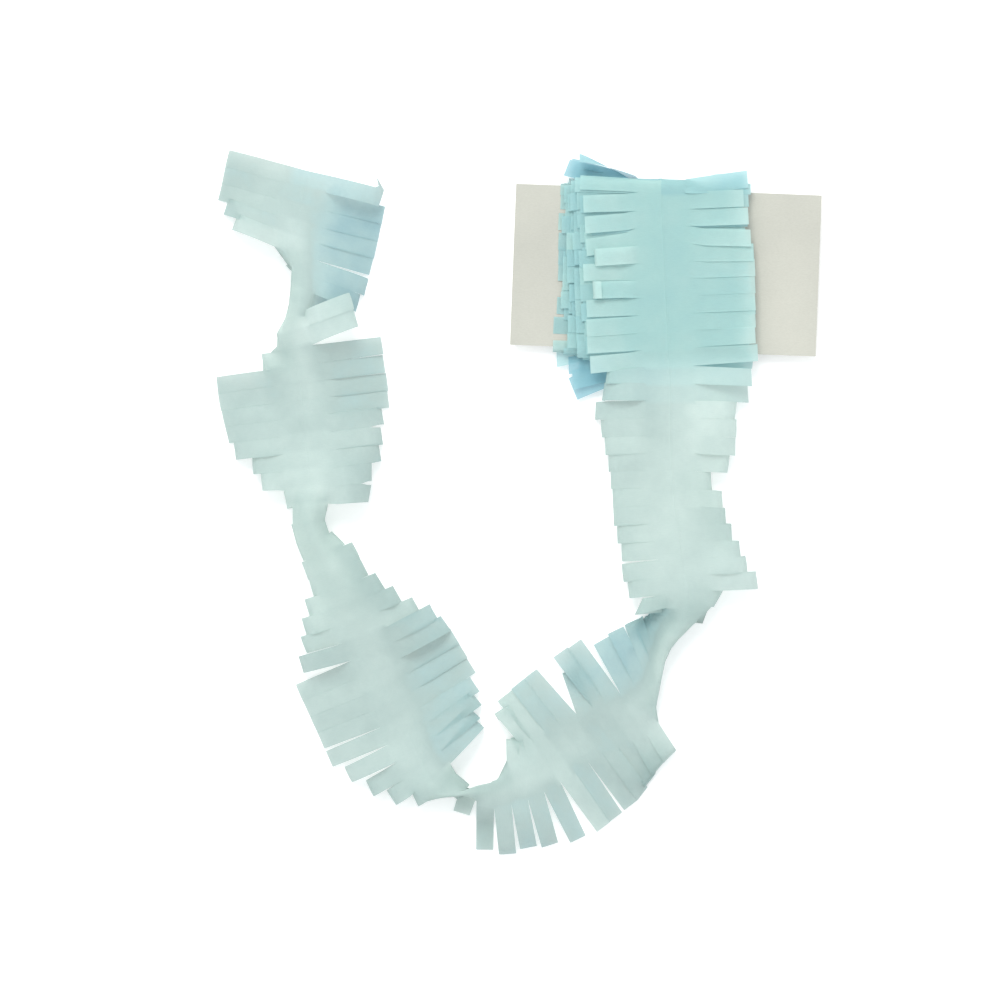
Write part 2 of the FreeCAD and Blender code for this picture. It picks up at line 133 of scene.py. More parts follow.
# The fringe ends of each row of the free run, inner and outer side: x, y, z.
ENDS = [
    (54.0, 76.7, 10.0, 140.6, 75.2, 11.0),
    (51.2, 66.6, 3.0, 139.1, 65.4, 3.0),
    (46.4, 55.0, 1.0, 131.5, 55.0, 1.0),
    (49.4, 44.0, 1.0, 131.9, 44.3, 1.0),
    (52.5, 33.4, 1.0, 131.5, 33.1, 1.0),
    (54.0, 23.0, 1.0, 127.5, 22.7, 1.0),
    (55.8, 12.9, 1.0, 116.5, 11.9, 2.0),
    (56.4, 2.0, 1.0, 123.1, 0.7, 1.0),
    (57.6, -9.6, 1.0, 125.4, -9.3, 1.0),
    (59.5, -20.3, 1.0, 129.0, -18.8, 1.0),
    (62.2, -31.0, 1.0, 133.9, -29.2, 1.0),
    (62.8, -43.8, 1.0, 137.6, -38.3, 1.0),
    (66.2, -53.9, 2.0, 144.1, -48.1, 1.0),
    (72.7, -64.5, 11.0, 121.4, -59.0, 1.0),
    (79.6, -66.7, 1.0, 113.8, -69.4, 1.0),
    (78.4, -68.2, 1.0, 102.2, -79.2, 1.0),
    (76.6, -70.0, 1.0, 95.5, -85.9, 1.0),
    (74.1, -71.9, 1.0, 90.3, -93.2, 1.0),
    (71.7, -73.1, 1.0, 87.5, -103.0, 1.0),
    (68.9, -73.7, 1.0, 85.1, -112.7, 1.0),
    (58.9, -79.2, 1.0, 86.0, -124.3, 1.0),
    (49.7, -85.0, 1.5, 91.8, -155.4, 1.0),
    (33.2, -87.1, 3.0, 84.5, -163.4, 1.0),
    (25.0, -92.0, 4.5, 79.6, -170.1, 1.0),
    (31.4, -103.0, 0.5, 74.7, -178.6, 1.0),
    (6.4, -105.7, 1.0, 68.0, -185.3, 1.0),
    (-0.9, -111.2, 2.0, 58.3, -192.6, 1.0),
    (-9.2, -118.5, 1.0, 51.5, -198.7, 1.0),
    (-11.0, -126.8, 3.0, 35.7, -206.1, 1.0),
    (-2.1, -142.6, 1.0, 18.6, -209.7, 1.0),
    (-3.0, -144.4, 1.0, 5.5, -210.9, 1.0),
    (-12.6, -165.5, 1.0, -7.3, -214.4, 1.0),
    (-21.0, -171.0, 1.0, -21.3, -212.5, 1.0),
    (-31.3, -173.8, 1.0, -35.4, -190.2, 2.0),
    (-34.5, -169.2, 3.0, -43.3, -179.2, 2.0),
    (-40.3, -161.2, 3.0, -63.7, -180.7, 2.0),
    (-25.6, -134.7, 1.5, -77.8, -180.4, 1.0),
    (-28.1, -128.6, 1.5, -91.2, -174.9, 1.0),
    (-26.5, -120.0, 2.0, -104.0, -166.4, 1.0),
    (-27.4, -111.5, 2.5, -115.6, -157.0, 1.0),
    (-29.6, -99.9, 1.0, -120.8, -146.0, 1.0),
    (-34.5, -90.8, 1.0, -125.4, -136.5, 1.0),
    (-39.6, -82.2, 1.0, -129.6, -126.5, 1.0),
    (-45.8, -74.9, 1.0, -134.5, -116.7, 1.0),
    (-52.5, -67.6, 1.0, -133.3, -99.6, 1.0),
    (-62.8, -63.3, 1.0, -131.5, -87.7, 1.0),
    (-74.7, -56.6, 1.0, -131.0, -76.7, 1.0),
    (-85.1, -48.7, 1.0, -129.3, -65.1, 1.0),
    (-94.9, -40.1, 1.0, -126.1, -52.6, 1.0),
    (-98.5, -30.1, 1.0, -130.2, -42.6, 1.0),
    (-110.3, -21.2, 11.0, -133.3, -30.7, 11.0),
    (-117.7, -15.7, 10.0, -137.7, -20.4, 12.0),
    (-117.7, -6.0, 10.0, -138.3, -7.5, 11.0),
    (-91.4, 4.7, 1.0, -142.4, 0.4, 1.0),
    (-90.8, 17.5, 1.0, -156.5, 11.4, 1.0),
    (-85.1, 29.4, 1.0, -162.3, 21.5, 1.0),
    (-84.5, 39.8, 1.0, -172.9, 30.6, 1.0),
    (-83.3, 52.0, 1.0, -178.1, 40.4, 1.0),
    (-80.2, 62.3, 1.0, -180.3, 50.1, 1.0),
    (-80.8, 72.7, 1.0, -183.3, 60.2, 1.0),
    (-82.7, 83.7, 1.0, -184.2, 70.5, 1.0),
    (-83.9, 95.0, 2.0, -156.2, 84.3, 3.0),
    (-99.4, 110.8, 16.0, -147.9, 95.9, 1.0),
    (-101.3, 121.5, 16.0, -145.5, 106.3, 1.0),
    (-106.4, 109.3, 2.0, -141.1, 115.1, 1.0),
    (-103.4, 114.8, 1.0, -139.1, 124.6, 1.0),
    (-98.5, 120.6, 1.0, -138.2, 134.3, 1.0),
    (-93.9, 130.7, 1.0, -139.7, 148.7, 1.0),
    (-90.6, 142.9, 1.0, -173.5, 170.0, 1.0),
    (-87.8, 153.2, 1.0, -178.7, 179.5, 1.0),
    (-85.4, 163.6, 1.0, -182.5, 188.6, 1.0),
    (-83.0, 174.3, 1.0, -180.4, 198.7, 1.0),
    (-85.5, 184.8, 5.0, -178.2, 209.0, 1.0),
]
CREASE = np.array(CREASE, float)
ENDS = np.array(ENDS, float).reshape(-1, 2, 3)
N_FREE = len(ENDS)


def smooth(x, a=0.0, b=1.0):
    x = np.clip((np.asarray(x, float) - a) / (b - a), 0, 1)
    return x * x * (3 - 2 * x)


def unit(v):
    v = np.asarray(v, float)
    return v / np.maximum(np.linalg.norm(v, axis=-1, keepdims=True), 1e-9)


# ------------------------------------------------------------------ how a finger falls
_u = np.linspace(0, 1, 61)


def _family(th0, th1, p):
    """Planar curves of length 1 whose slope turns from th0 to th1: reach, fall, sloped down positive."""
    th = th0[:, None] + (th1 - th0)[:, None] * _u[None, :] ** p[:, None]
    mid = (th[:, 1:] + th[:, :-1]) / 2
    r = np.concatenate([np.zeros((len(th), 1)), np.cumsum(np.cos(mid), 1)], 1) / 60
    z = np.concatenate([np.zeros((len(th), 1)), np.cumsum(-np.sin(mid), 1)], 1) / 60
    return r, z


def _grid(a, b, p):
    g = np.array(np.meshgrid(np.radians(a), np.radians(b), p, indexing="ij"))
    return g.reshape(3, -1)


FALLS = {}
for _name, _g in {
    "arch": _grid(np.arange(-24, 50, 6), np.arange(0, 136, 7.5), [0.6, 0.8, 1, 1.5, 2.2, 3.4]),
    "boot": _grid(np.arange(30, 126, 6), np.arange(-12, 45, 6), [0.35, 0.5, 0.7, 1, 1.5, 2.2]),
}.items():
    FALLS[_name] = (_g, *_family(*_g))


def tucked(reach, zc, zt, bend):
    """Straight down the slope, round a bend at the table, back underneath, and what is left
    over rolled up small."""
    drop = zc - zt
    th = math.radians(30)
    for _ in range(60):
        rho = min(bend, 0.97 * drop / (1 + math.cos(th)))
        run = reach - rho * (1 - math.sin(th))
        down = drop - rho * (1 + math.cos(th))
        th_new = math.atan2(max(down, 0.0), max(run, 0.05))
        th += 0.3 * (th_new - th)
    s0 = math.hypot(max(run, 0), max(down, 0))
    s1 = s0 + rho * (math.pi - th)
    if s1 > HALF - 1.0:
        return None
    s2 = s1 + min(HALF - s1, max(reach - rho - 1.0, 0.5))
    return walk([(0, th), (s0, th), (s1, math.pi), (s2, math.pi), (HALF, math.pi + (HALF - s2) / 3.0)], reach, zc, zt, s1)


def ledge(reach, zc, zt, a):
    """Nearly level for a, then steeply down and out flat on the table."""
    best = None
    for deg in np.arange(25, 118, 3.0):
        st = math.radians(deg)
        d = zc - zt - a * math.sin(0.12)
        L = d / math.sin(st)
        if a + L > HALF - 3:
            continue
        got = a * math.cos(0.12) + d / math.tan(st) + (HALF - a - L)
        if best is None or abs(got - reach) < best[0]:
            best = (abs(got - reach), st, L)
    _, st, L = best
    r0, r1 = min(1.5, a * 0.4), 3.0
    return walk([(0, 0.12), (a - r0, 0.12), (a + r0, st), (a + L - r1, st), (a + L + r1, 0.0), (HALF, 0.0)], reach, zc, zt, a + L)


def under(reach, zc):
    """Level out to reach, folded back underneath there, and the rest hanging curled below."""
    r = min(2.2, 0.6 * reach, zc / 4)
    a = reach - r
    s1 = a + math.pi * r
    curl = max(1.2, min(2.4, (zc - 2 * r - 0.8) / 2))
    s2 = min(s1 + max(a - 0.45 * reach + curl, 0.6), HALF - 6)
    s = np.linspace(0, HALF, 321)
    left = (HALF - s2) / 2
    turned = math.pi - left / curl
    ang = np.interp(s, [0, a, s1, s2, s2 + left, HALF], [0.04, 0.10, math.pi, math.pi, turned, turned - left / (0.7 * curl)])
    mid = (ang[1:] + ang[:-1]) / 2
    ds = HALF / 320
    x = np.concatenate([[0], np.cumsum(np.cos(mid))]) * ds
    z = zc - np.concatenate([[0], np.cumsum(np.sin(mid))]) * ds
    return np.interp(TS, s, x), np.maximum(np.interp(TS, s, z), 0.35)


def walk(turns, reach, zc, zt, s_low):
    """Follow the slope angles given at distances; stretched to reach, set down at zt at s_low."""
    s = np.linspace(0, HALF, 161)
    ang = np.interp(s, *zip(*turns))
    mid = (ang[1:] + ang[:-1]) / 2
    ds = HALF / 160
    r = np.concatenate([[0], np.cumsum(np.cos(mid))]) * ds
    z = zc - np.concatenate([[0], np.cumsum(np.sin(mid))]) * ds
    i = int(np.argmin(np.abs(s - s_low)))
    r = r * (reach / max(r.max(), 1e-6)) if r.max() > 0.5 * reach else r
    z = z + (zt - z[i]) * np.clip(s / s_low, 0, 1)
    return np.interp(TS, s, r), np.maximum(np.interp(TS, s, z), 0.35)


def fall(reach, zc, zt, kind, bend):
    """Reach and height along one half of the strip, from the crease at zc to the fringe end at
    zt, at the distances TS: the curve of the right length that comes nearest."""
    chord = math.hypot(reach, zc - zt)
    if kind == "under":
        return under(reach, zc)
    if chord > 0.985 * HALF:
        k = TS / HALF
        return reach * k, zc + (zt - zc) * k + 1.0 * np.sin(np.pi * k) * (1 - 0.5 * k)
    if isinstance(kind, float) and kind > 0:
        return ledge(reach, zc, zt, kind)
    if isinstance(kind, float):  # nearly level, then one long slope down to the table
        a = -kind
        L = HALF - a - 1.5
        st = math.asin(min(0.95, (zc - zt) / L))
        return walk([(0, 0.05), (a - 2, 0.05), (a + 2, st), (a + L - 1, st), (HALF, 0.2)], reach, zc, zt, a + L)
    if kind == "tuck":
        got = tucked(reach, zc, zt, bend)
        if got is not None:
            return got
        kind = "arch"
    g, r, z = FALLS[kind]
    far = r.max(1) * HALF
    low = zc + z * HALF
    miss = (far - reach) ** 2 + (low[:, -1] - zt) ** 2
    miss = miss + 4 * np.minimum(low.min(1) - 0.2, 0) ** 2
    if kind == "arch":
        miss = miss + 6 * (g[0] - 0.05) ** 2 + 0.5 * np.maximum(g[1] - 1.7, 0) ** 2 + 0.8 * (2.2 - np.minimum(g[2], 2.2)) ** 2
    else:
        miss = miss + 1.0 * np.maximum(g[0] - 1.6, 0) ** 2
    best = int(np.argmin(miss))
    rr = np.interp(TS, _u * HALF, r[best] * HALF * reach / max(far[best], 1e-6))
    zz = np.interp(TS, _u * HALF, low[best])
    zz = zz + (zt - zz[-1]) * (TS / HALF)
    return rr, np.maximum(zz, 0.35)


# ------------------------------------------------------------------ the free run
# Each slit of the free run, (row before it, side): None is open and shows what lies under it, a
# number is how far the finger nearer +Y rides over the other, 0 is shut.
SLIT = {}
for _side, _rows in ((0, (12, 19, 21, 24, 34, 35, 49, 53, 54, 56, 61, 67)),
                     (1, (25, 27, 28, 29, 30, 31, 32, 33, 36, 37, 38, 39, 43, 44, 49, 51))):
    for _row in _rows:
        SLIT[(_row, _side)] = None
for _side, _laps in (
    (0, {0: 3.0, 1: 1.0, 2: 1.0, 4: 0.7, 6: 0.7, 8: 0.9, 9: 0.5, 10: 0.6, 11: 0.4, 13: 1.5, 14: 0.8, 15: 0.8, 16: 0.8, 17: 0.8,
         18: 0.5, 20: 0.4, 22: 0.15, 23: 0.3, 26: 0.2, 27: 0.6, 28: 1.2, 29: 1.0,
         36: 0.5, 37: 0.7, 38: 0.8, 39: 1.2, 40: 1.2, 41: 1.3, 42: 1.5, 43: 0.3, 44: 0.9, 45: 1.2, 46: 1.3, 47: 1.1,
         50: 0.8, 51: 0.6, 55: 0.8, 57: 1.4, 58: 0.5, 59: 1.6, 60: 0.7,
         64: 0.6, 65: 0.6, 66: 1.2, 68: 0.8, 69: 0.6, 70: 1.0, 71: 3.0}),
    (1, {-1: 3.0, 0: 1.4, 1: 0.9, 2: 0.25, 3: 0.2, 4: 0.6, 5: 0.3, 6: 0.3, 11: 0.5, 12: 1.0, 13: 1.0, 21: 0.5, 22: 0.4,
         45: 0.4, 46: 0.5, 47: 0.6, 48: 0.5, 50: 0.6, 55: 0.2})):
    for _row, _lap in _laps.items():
        SLIT[(_row, _side)] = _lap
# how single fingers come down, where it is not the usual way; a number is the length of a ledge
KIND = {(34, 0): "tuck", (50, 0): "tuck", (50, 1): "tuck", (51, 0): "tuck", (51, 1): "tuck", (52, 0): "tuck", (52, 1): "tuck", (32, 1): 15.0, (33, 1): 6.0,
        (64, 0): 12.0, (65, 0): 12.0}
# open slits that stay shut for a part of their length, from the root
SHORT = {(19, 0): 0.5, (53, 0): 0.6, (54, 0): 0.85, (56, 0): 0.82, (12, 0): 0.2}
# fringe ends that are not square: how much longer the later edge is
SHEAR = {(72, 0): 3.0, (13, 0): 5.5, (13, 1): -7.0, (14, 1): -3.5, (15, 1): -2.0, (2, 1): -1.7, (5, 1): -1.8, (53, 0): 2.2, (21, 1): 2.0, (22, 1): 3.6, (23, 1): 3.6, (24, 1): 2.5}
BEND = {(24, 0): 1.0, (14, 0): 2.0, (15, 0): 2.0, (16, 0): 2.0, (17, 0): 2.0, (18, 0): 2.0, (19, 0): 2.0, (20, 0): 2.5, (34, 0): 1.5, (35, 0): 2.0, (50, 0): 1.4, (50, 1): 1.5, (51, 0): 1.4, (51, 1): 1.5, (52, 0): 1.4, (52, 1): 1.5}
LIFT = {}
CUP = {}
# where along the free run the crease is pressed sharp
CREASED = [(0, 1), (12, 1), (14, 0), (53, 0), (54.5, 1), (60, 1), (61.5, 0), (69, 0), (70.5, 1), (73, 1)]
# how deep the colour lies along the crease of the free run: single layer pale, doubled or folded
# under deeper; painted shade also makes it deeper where the sheet is turned from the light or lies in shadow, and
# painted light paler where it faces the light
LAYERS_AND_SHADE_ALONG = [(0, 0.1), (12, 0.1), (18, -0.25), (24, 0.7), (28, 0.05), (34, -0.1), (40, 0.5), (47, -0.15), (52, -0.4),
              (57, 0.55), (64, -0.4), (69, 0.4), (72, 1.1)]
# broad fields of the fringe: first row, last row, side, depth at the root, depth at the end; deeper for doubled layers
# and for painted shade, lower for painted light
LAYERS_AND_SHADE_FIELDS = [
    (0, 3, 0, 0.4, 0.3),        # just out of the winding
    (2, 7, 1, -0.1, -0.3),      # flat on the floor, one layer; made paler still as painted light
    (14, 21, 0, 0.85, 1.25),    # past the first neck, turned away from the light: painted shade
    (22, 26, 0, 0.6, 0.9),
    (23, 26, 1, 0.8, 0.7),
    (28, 32, 1, 0.7, 0.75),    # the open fan at the bottom of the U
    (33, 36, 0, -0.1, -0.1),
    (36, 44, 0, 0.75, 0.9),     # lapped over one another, with painted shade under the laps
    (35, 44, 1, 0.3, 0.4),
    (45, 49, 0, 0.2, 0.3),
    (53, 56, 0, 0.3, 0.6),
    (57, 61, 0, 0.6, 0.75),
    (57, 60, 1, 0.55, 0.5),
    (64, 71, 0, 0.85, 1.3),    # the far end, doubled, with painted shade under the arch of the last fingers
    (69, 72, 1, 0.72, 0.7),
]

free_mid = np.zeros((N_FREE, 2, NT, 3))
free_dir = np.zeros((N_FREE, 2, NT, 3))
UNDER = set()  # the rows folded back underneath
for i in range(N_FREE):
    a, b = CREASE[i], CREASE[i + 1]
    c = (a + b) / 2
    along = unit(b - a)
    for s in range(2):
        end = ENDS[i, s]
        d = end[:2] - c[:2]
        reach = float(np.hypot(*d))
        d = d / reach
        drop = c[2] - end[2]
        kind = KIND.get((i, s))
        if kind is None and reach < 15.5 and drop > 7:
            kind = "under"
        if kind == "under":
            UNDER.add((i, s))
        if kind is None:
            kind = "tuck" if HALF - math.hypot(reach, drop) > 5 and drop > 4 else "arch"
        bend = max(2.2, min(0.44 * drop, 0.75 * reach, 8.0))
        r, z = fall(reach, c[2], end[2], kind, BEND.get((i, s), bend))
        mid = np.zeros((NT, 3))
        mid[:, 0] = c[0] + d[0] * r
        mid[:, 1] = c[1] + d[1] * r
        mid[:, 2] = z
        # the width of a finger lies square to it, the way the crease runs
        w = np.array([d[1], -d[0], 0.0])
        if w @ along < 0:
            w = -w
        k = smooth(TS, 0.0, BAND)[:, None]
        width = unit(along[None, :] * (1 - k) + w[None, :] * k)
        free_mid[i, s], free_dir[i, s] = mid, width
# the band is one sheet: its rows follow each other smoothly
for _ in range(3):
    soft = free_mid.copy()
    soft[1:-1] = (free_mid[:-2] + 2 * free_mid[1:-1] + free_mid[2:]) / 4
    k = (1 - smooth(TS, 6.0, 24.0)) * smooth(TS, 0.0, 2.0)
    free_mid = free_mid + (soft - free_mid) * k[None, None, :, None] * np.array([0, 0, 1.0])
# where the crease is not pressed sharp the sheet goes over it in a round
pressed = np.interp(np.arange(N_FREE), *zip(*CREASED))
tilt = (free_mid[:, :, 2, 2] - free_mid[:, :, 0, 2]) / TS[2]
fix = -tilt.mean(1) * (1 - pressed)
free_mid[..., 2] += fix[:, None, None] * (TS * np.exp(-((TS / 6.0) ** 2)))[None, None, :]


def frame_normal(mid, width):
    run = np.gradient(mid, axis=0)
    n = np.cross(run, width)
    n = unit(n)
    # keep to one face of the sheet, the one that is up at the crease
    if n[1, 2] < 0:
        n = -n
    return n


G = np.zeros((N_FREE, 2, NT, NQ + 1, 3))  # row, side, along the finger, across it
grown = smooth(TS, BAND, BAND + 11)
for i in range(N_FREE):
    for s in range(2):
        mid, width = free_mid[i, s].copy(), free_dir[i, s].copy()
        rng = np.random.default_rng(1000 + 2 * i + s)
        n = frame_normal(mid, width)
        lift = LIFT.get((i, s), rng.uniform(-0.2, 0.5))
        mid = mid + n * (lift * smooth(TS, HALF - 18, HALF) ** 1.5)[:, None]
        # how high the finger's two edges stand off the sheet's own surface
        edge, wider = [], [-0.03, -0.03]
        for q, j in ((0, i - 1), (1, i)):
            lap = SLIT.get((j, s), 0.0)
            other = i - 1 if q == 0 else i + 1
            if lap is None or not 0 <= other < N_FREE:
                edge.append(rng.uniform(-0.2, 0.3))
                continue
            h = TS.searchsorted(HALF * 0.75)
            upper = free_mid[i, s, h, 1] > free_mid[other, s, h, 1]
            edge.append(0.75 * lap if upper else -0.25 * lap)
            if lap:
                wider[q] = 0.22
        q = QS[None, :]
        k = grown[:, None]
        off = (edge[0] * (1 - q) + edge[1] * q) * k
        cup = CUP.get((i, s), rng.uniform(-0.08, 0.22))
        off = off + cup * k * 4 * q * (1 - q)
        across = (q - 0.5) * PITCH + (q * wider[1] - (1 - q) * wider[0]) * k
        g = mid[:, None, :] + width[:, None, :] * across[:, :, None] + n[:, None, :] * off[:, :, None]
        if (i, s) in SHEAR:  # the fringe end is cut askew
            way = np.append(unit(ENDS[i, s, :2] - (CREASE[i, :2] + CREASE[i + 1, :2]) / 2), 0.0)
            out = (mid - mid[0]) @ way
            far = np.clip(out / out.max(), 0, 1) ** 2 * smooth(TS, BAND, BAND + 8)
            g = g + way[None, None, :] * (SHEAR[(i, s)] * far[:, None] * (q - 0.5))[:, :, None]
        G[i, s] = g
# uncut-looking slits: the two edges lie together down to the fringe ends
for i in range(N_FREE - 1):
    for s in range(2):
        lap = SLIT.get((i, s), 0.0)
        if lap is None and (i, s) not in SHORT:
            continue
        a, b = G[i, s, NB:, NQ].copy(), G[i + 1, s, NB:, 0].copy()
        apart = np.linalg.norm((a - b)[:, :2], axis=1)
        # only where they nearly meet anyway
        pull = np.clip(1.35 - apart / 3.2, 0, 1)[:, None] * (1.0 if lap == 0 else 0.0)
        if (i, s) in SHORT:
            h = (TS[NB:] - BAND) / (HALF - BAND)
            pull = 1 - smooth(h, SHORT[(i, s)] - 0.16, SHORT[(i, s)] + 0.04)[:, None]
        m = (a + b) / 2
        hair = -0.10  # a hair's breadth of overlap
        side = unit(G[i + 1, s, NB:, 2] - G[i, s, NB:, 2])
        da = (m - side * hair - a) * pull
        db = (m + side * hair - b) * pull
        for q in range(NQ + 1):
            w = (q / NQ) ** 1.5
            G[i, s, NB:, q] += da * w
            G[i + 1, s, NB:, NQ - q] += db * w
FREE = G

# ------------------------------------------------------------------ the winding
# Cross-section of the winding in the card's own axes: v across the card, w up from its
# middle.  S runs from where the free run leaves the front, inwards turn by turn.
CARD = dict(x=89.0, y=140.5, z=7.55, turn=math.radians(-2.2))
TURNS = 10
pts = []
start_v = -58.6


def half_thickness(m):
    return 7.2 - 0.362 * m


for m in range(2 * TURNS):
    h, h1 = half_thickness(m), half_thickness(m + 1)
    k = 1 - m / (2 * TURNS)
    up = m % 2 == 0
    sgn = 1 if up else -1
    reach = (50.0 + 5.15 * k) if up else (50.0 + 8.75 * k)
    e = reach - 49.4
    first = start_v if m == 0 else -49.4
    flat = np.linspace(first, 49.4, 40)
    for v in flat[:-1]:
        pts.append((sgn * v, sgn * h))
    cz, az = (h - h1) / 2, (h + h1) / 2
    for f in np.linspace(math.pi / 2, -math.pi / 2, 25)[:-1]:
        pts.append((sgn * (49.4 + e * math.cos(f)), sgn * (cz + az * math.sin(f))))
pts = np.array(pts)
seg = np.hypot(*np.diff(pts, axis=0).T)
S_OF = np.concatenate([[0], np.cumsum(seg)])
S_TOTAL = S_OF[-1]
tan = np.gradient(pts, axis=0)
tan = tan / np.linalg.norm(tan, axis=1, keepdims=True)
NRM = np.stack([-tan[:, 1], tan[:, 0]], 1)


def wound(S):
    """v, w and outward normal at distance S; below 0 the strip runs straight on."""
    S = np.asarray(S, float)
    Sc = np.clip(S, 0, S_TOTAL)
    v = np.interp(Sc, S_OF, pts[:, 0]) + np.minimum(S, 0)
    w = np.interp(Sc, S_OF, pts[:, 1])
    nv = np.interp(Sc, S_OF, NRM[:, 0])
    nw = np.interp(Sc, S_OF, NRM[:, 1])
    n = np.hypot(nv, nw)
    return v, w, nv / n, nw / n


# where the crease lies along the card: low and high end of each turn's front
_s, _x = [], []
FRONT = [  # (at the lower end, at the upper end) for each pair of turns, mm from the card's middle
    (3.6, -5.7),
    (0.2, -9.0),
    (-5.0, -10.9),
    (-10.2, -13.0),
    (-15.2, -14.5),
]
turn_start = [0.0]
for m in range(2 * TURNS):
    n_pts = 39 + 24
    turn_start.append(S_OF[min((m + 1) * n_pts, len(S_OF) - 1)])
for n in range(TURNS):
    g = n / 2.0
    lo_x = np.interp(g, range(5), [f[0] for f in FRONT])
    hi_x = np.interp(g, range(5), [f[1] for f in FRONT])
    # pairs lie together: the step comes between them
    lo_x = 0.35 * lo_x + 0.65 * FRONT[n // 2][0]
    hi_x = 0.35 * hi_x + 0.65 * FRONT[n // 2][1]
    a = turn_start[2 * n]
    _s += [a, a + 108 if n == 0 else a + 98.8]
    _x += [lo_x, hi_x]
_dense = np.arange(-60, S_TOTAL + 5, 1.0)
_c = np.interp(_dense, _s, _x)
_c[_dense < 0] = _x[0] + (_dense[_dense < 0]) * (_x[1] - _x[0]) / (_s[1] - _s[0])
_kernel = np.hanning(31)
_kernel /= _kernel.sum()
_c = np.convolve(np.pad(_c, 15, mode="edge"), _kernel, mode="valid")
_slope = np.gradient(_c, _dense)


def crease_x(S):
    return np.interp(S, _dense, _c)


def skew(S):
    return np.arctan(np.interp(S, _dense, _slope))


ca, sa = math.cos(CARD["turn"]), math.sin(CARD["turn"])


def from_card(x, v, w):
    """Card axes to the frame's."""
    return np.stack(
        [CARD["x"] + ca * x - sa * v, CARD["y"] + sa * x + ca * v, CARD["z"] + w], -1
    )


N_WOUND = int(S_TOTAL // PITCH)
W = np.zeros((N_WOUND, 2, NT, NQ + 1, 3))  # row 0 is the one next to the free run
# How single fingers of the winding lie: (row from the free run, side) and what is different.
WTUNE = {
    (0, 0): dict(fan=2.2, longer=-3.6, roll=0.02, lift=1.0), (1, 0): dict(fan=0.4, longer=-2.4, roll=0.05, lift=0.3),
    (2, 0): dict(fan=0.8, longer=-2.4, roll=0.02, lift=0.4), (3, 0): dict(fan=-0.6, longer=-3.0, roll=0.07),
    (4, 0): dict(curl=(43.6, 0.7, 1.8, 1), fan=-1.0), (5, 0): dict(fan=-1.5, longer=-2.0, roll=-0.04, lift=1.3),
    (6, 0): dict(curl=(41.0, 1.5, 3.5, -1), fan=0.8, roll=-0.03), (7, 0): dict(fan=5.0, longer=-4.5, roll=0.10),
    (8, 0): dict(fan=1.5, longer=-4.4, roll=0.02, lift=1.5), (9, 0): dict(fan=-0.5, longer=-4.0, roll=0.03, lift=1.0),
    (10, 0): dict(fan=0.5, longer=-2.0, roll=0.0, lift=0.6),
    (0, 1): dict(fan=-0.8, longer=3.4, roll=0.0, lift=0.6), (1, 1): dict(fan=-1.0, longer=2.4, roll=0.05, lift=1.2),
    (2, 1): dict(fan=-0.2, longer=3.0, roll=0.05), (3, 1): dict(fan=0.0, longer=3.4, roll=0.06),
    (4, 1): dict(fan=0.0, longer=3.8, roll=0.03), (5, 1): dict(fan=0.2, longer=4.2, roll=0.06),
    (6, 1): dict(fan=2.0, longer=3.6, roll=0.04), (7, 1): dict(fan=4.0, longer=2.6, roll=0.12, lift=0.8),
    (8, 1): dict(fan=0.8, longer=1.6, roll=0.14, lift=1.4), (9, 1): dict(fan=0.0, longer=-0.8, roll=0.06, lift=0.8),
    (10, 1): dict(fan=0.2, longer=-0.6, roll=0.05, lift=0.2),
}
PALE = {}
# the winding's fringe: depth of colour at the root, at the end, and where it turns. The ends lie
# higher and are painted paler, as painted light; the fingers that go in under the lip are painted deeper, as painted
# shade.
WOUND_LAYERS_AND_SHADE = {(k, 1): (0.0, -0.35, 42.0) for k in range(1, 10)}
WOUND_LAYERS_AND_SHADE.update({(k, 0): (0.0, -0.15, 27.0) for k in range(4)})
WOUND_LAYERS_AND_SHADE.update({(k, 0): (0.0, -0.3, 28.0) for k in range(4, 10)})
WOUND_LAYERS_AND_SHADE.update({(k, 0): (1.4, 1.2, 34.0) for k in (11, 12)})
WOUND_LAYERS_AND_SHADE.update({(k, 1): (0.6, 0.75, 30.0) for k in (10, 11)})
# two that are turned over and catch the light: painted light, made paler
WOUND_LAYERS_AND_SHADE[(6, 0)] = (0.0, -0.42, 17.0)
WOUND_LAYERS_AND_SHADE[(4, 0)] = (0.0, -0.45, 42.0)


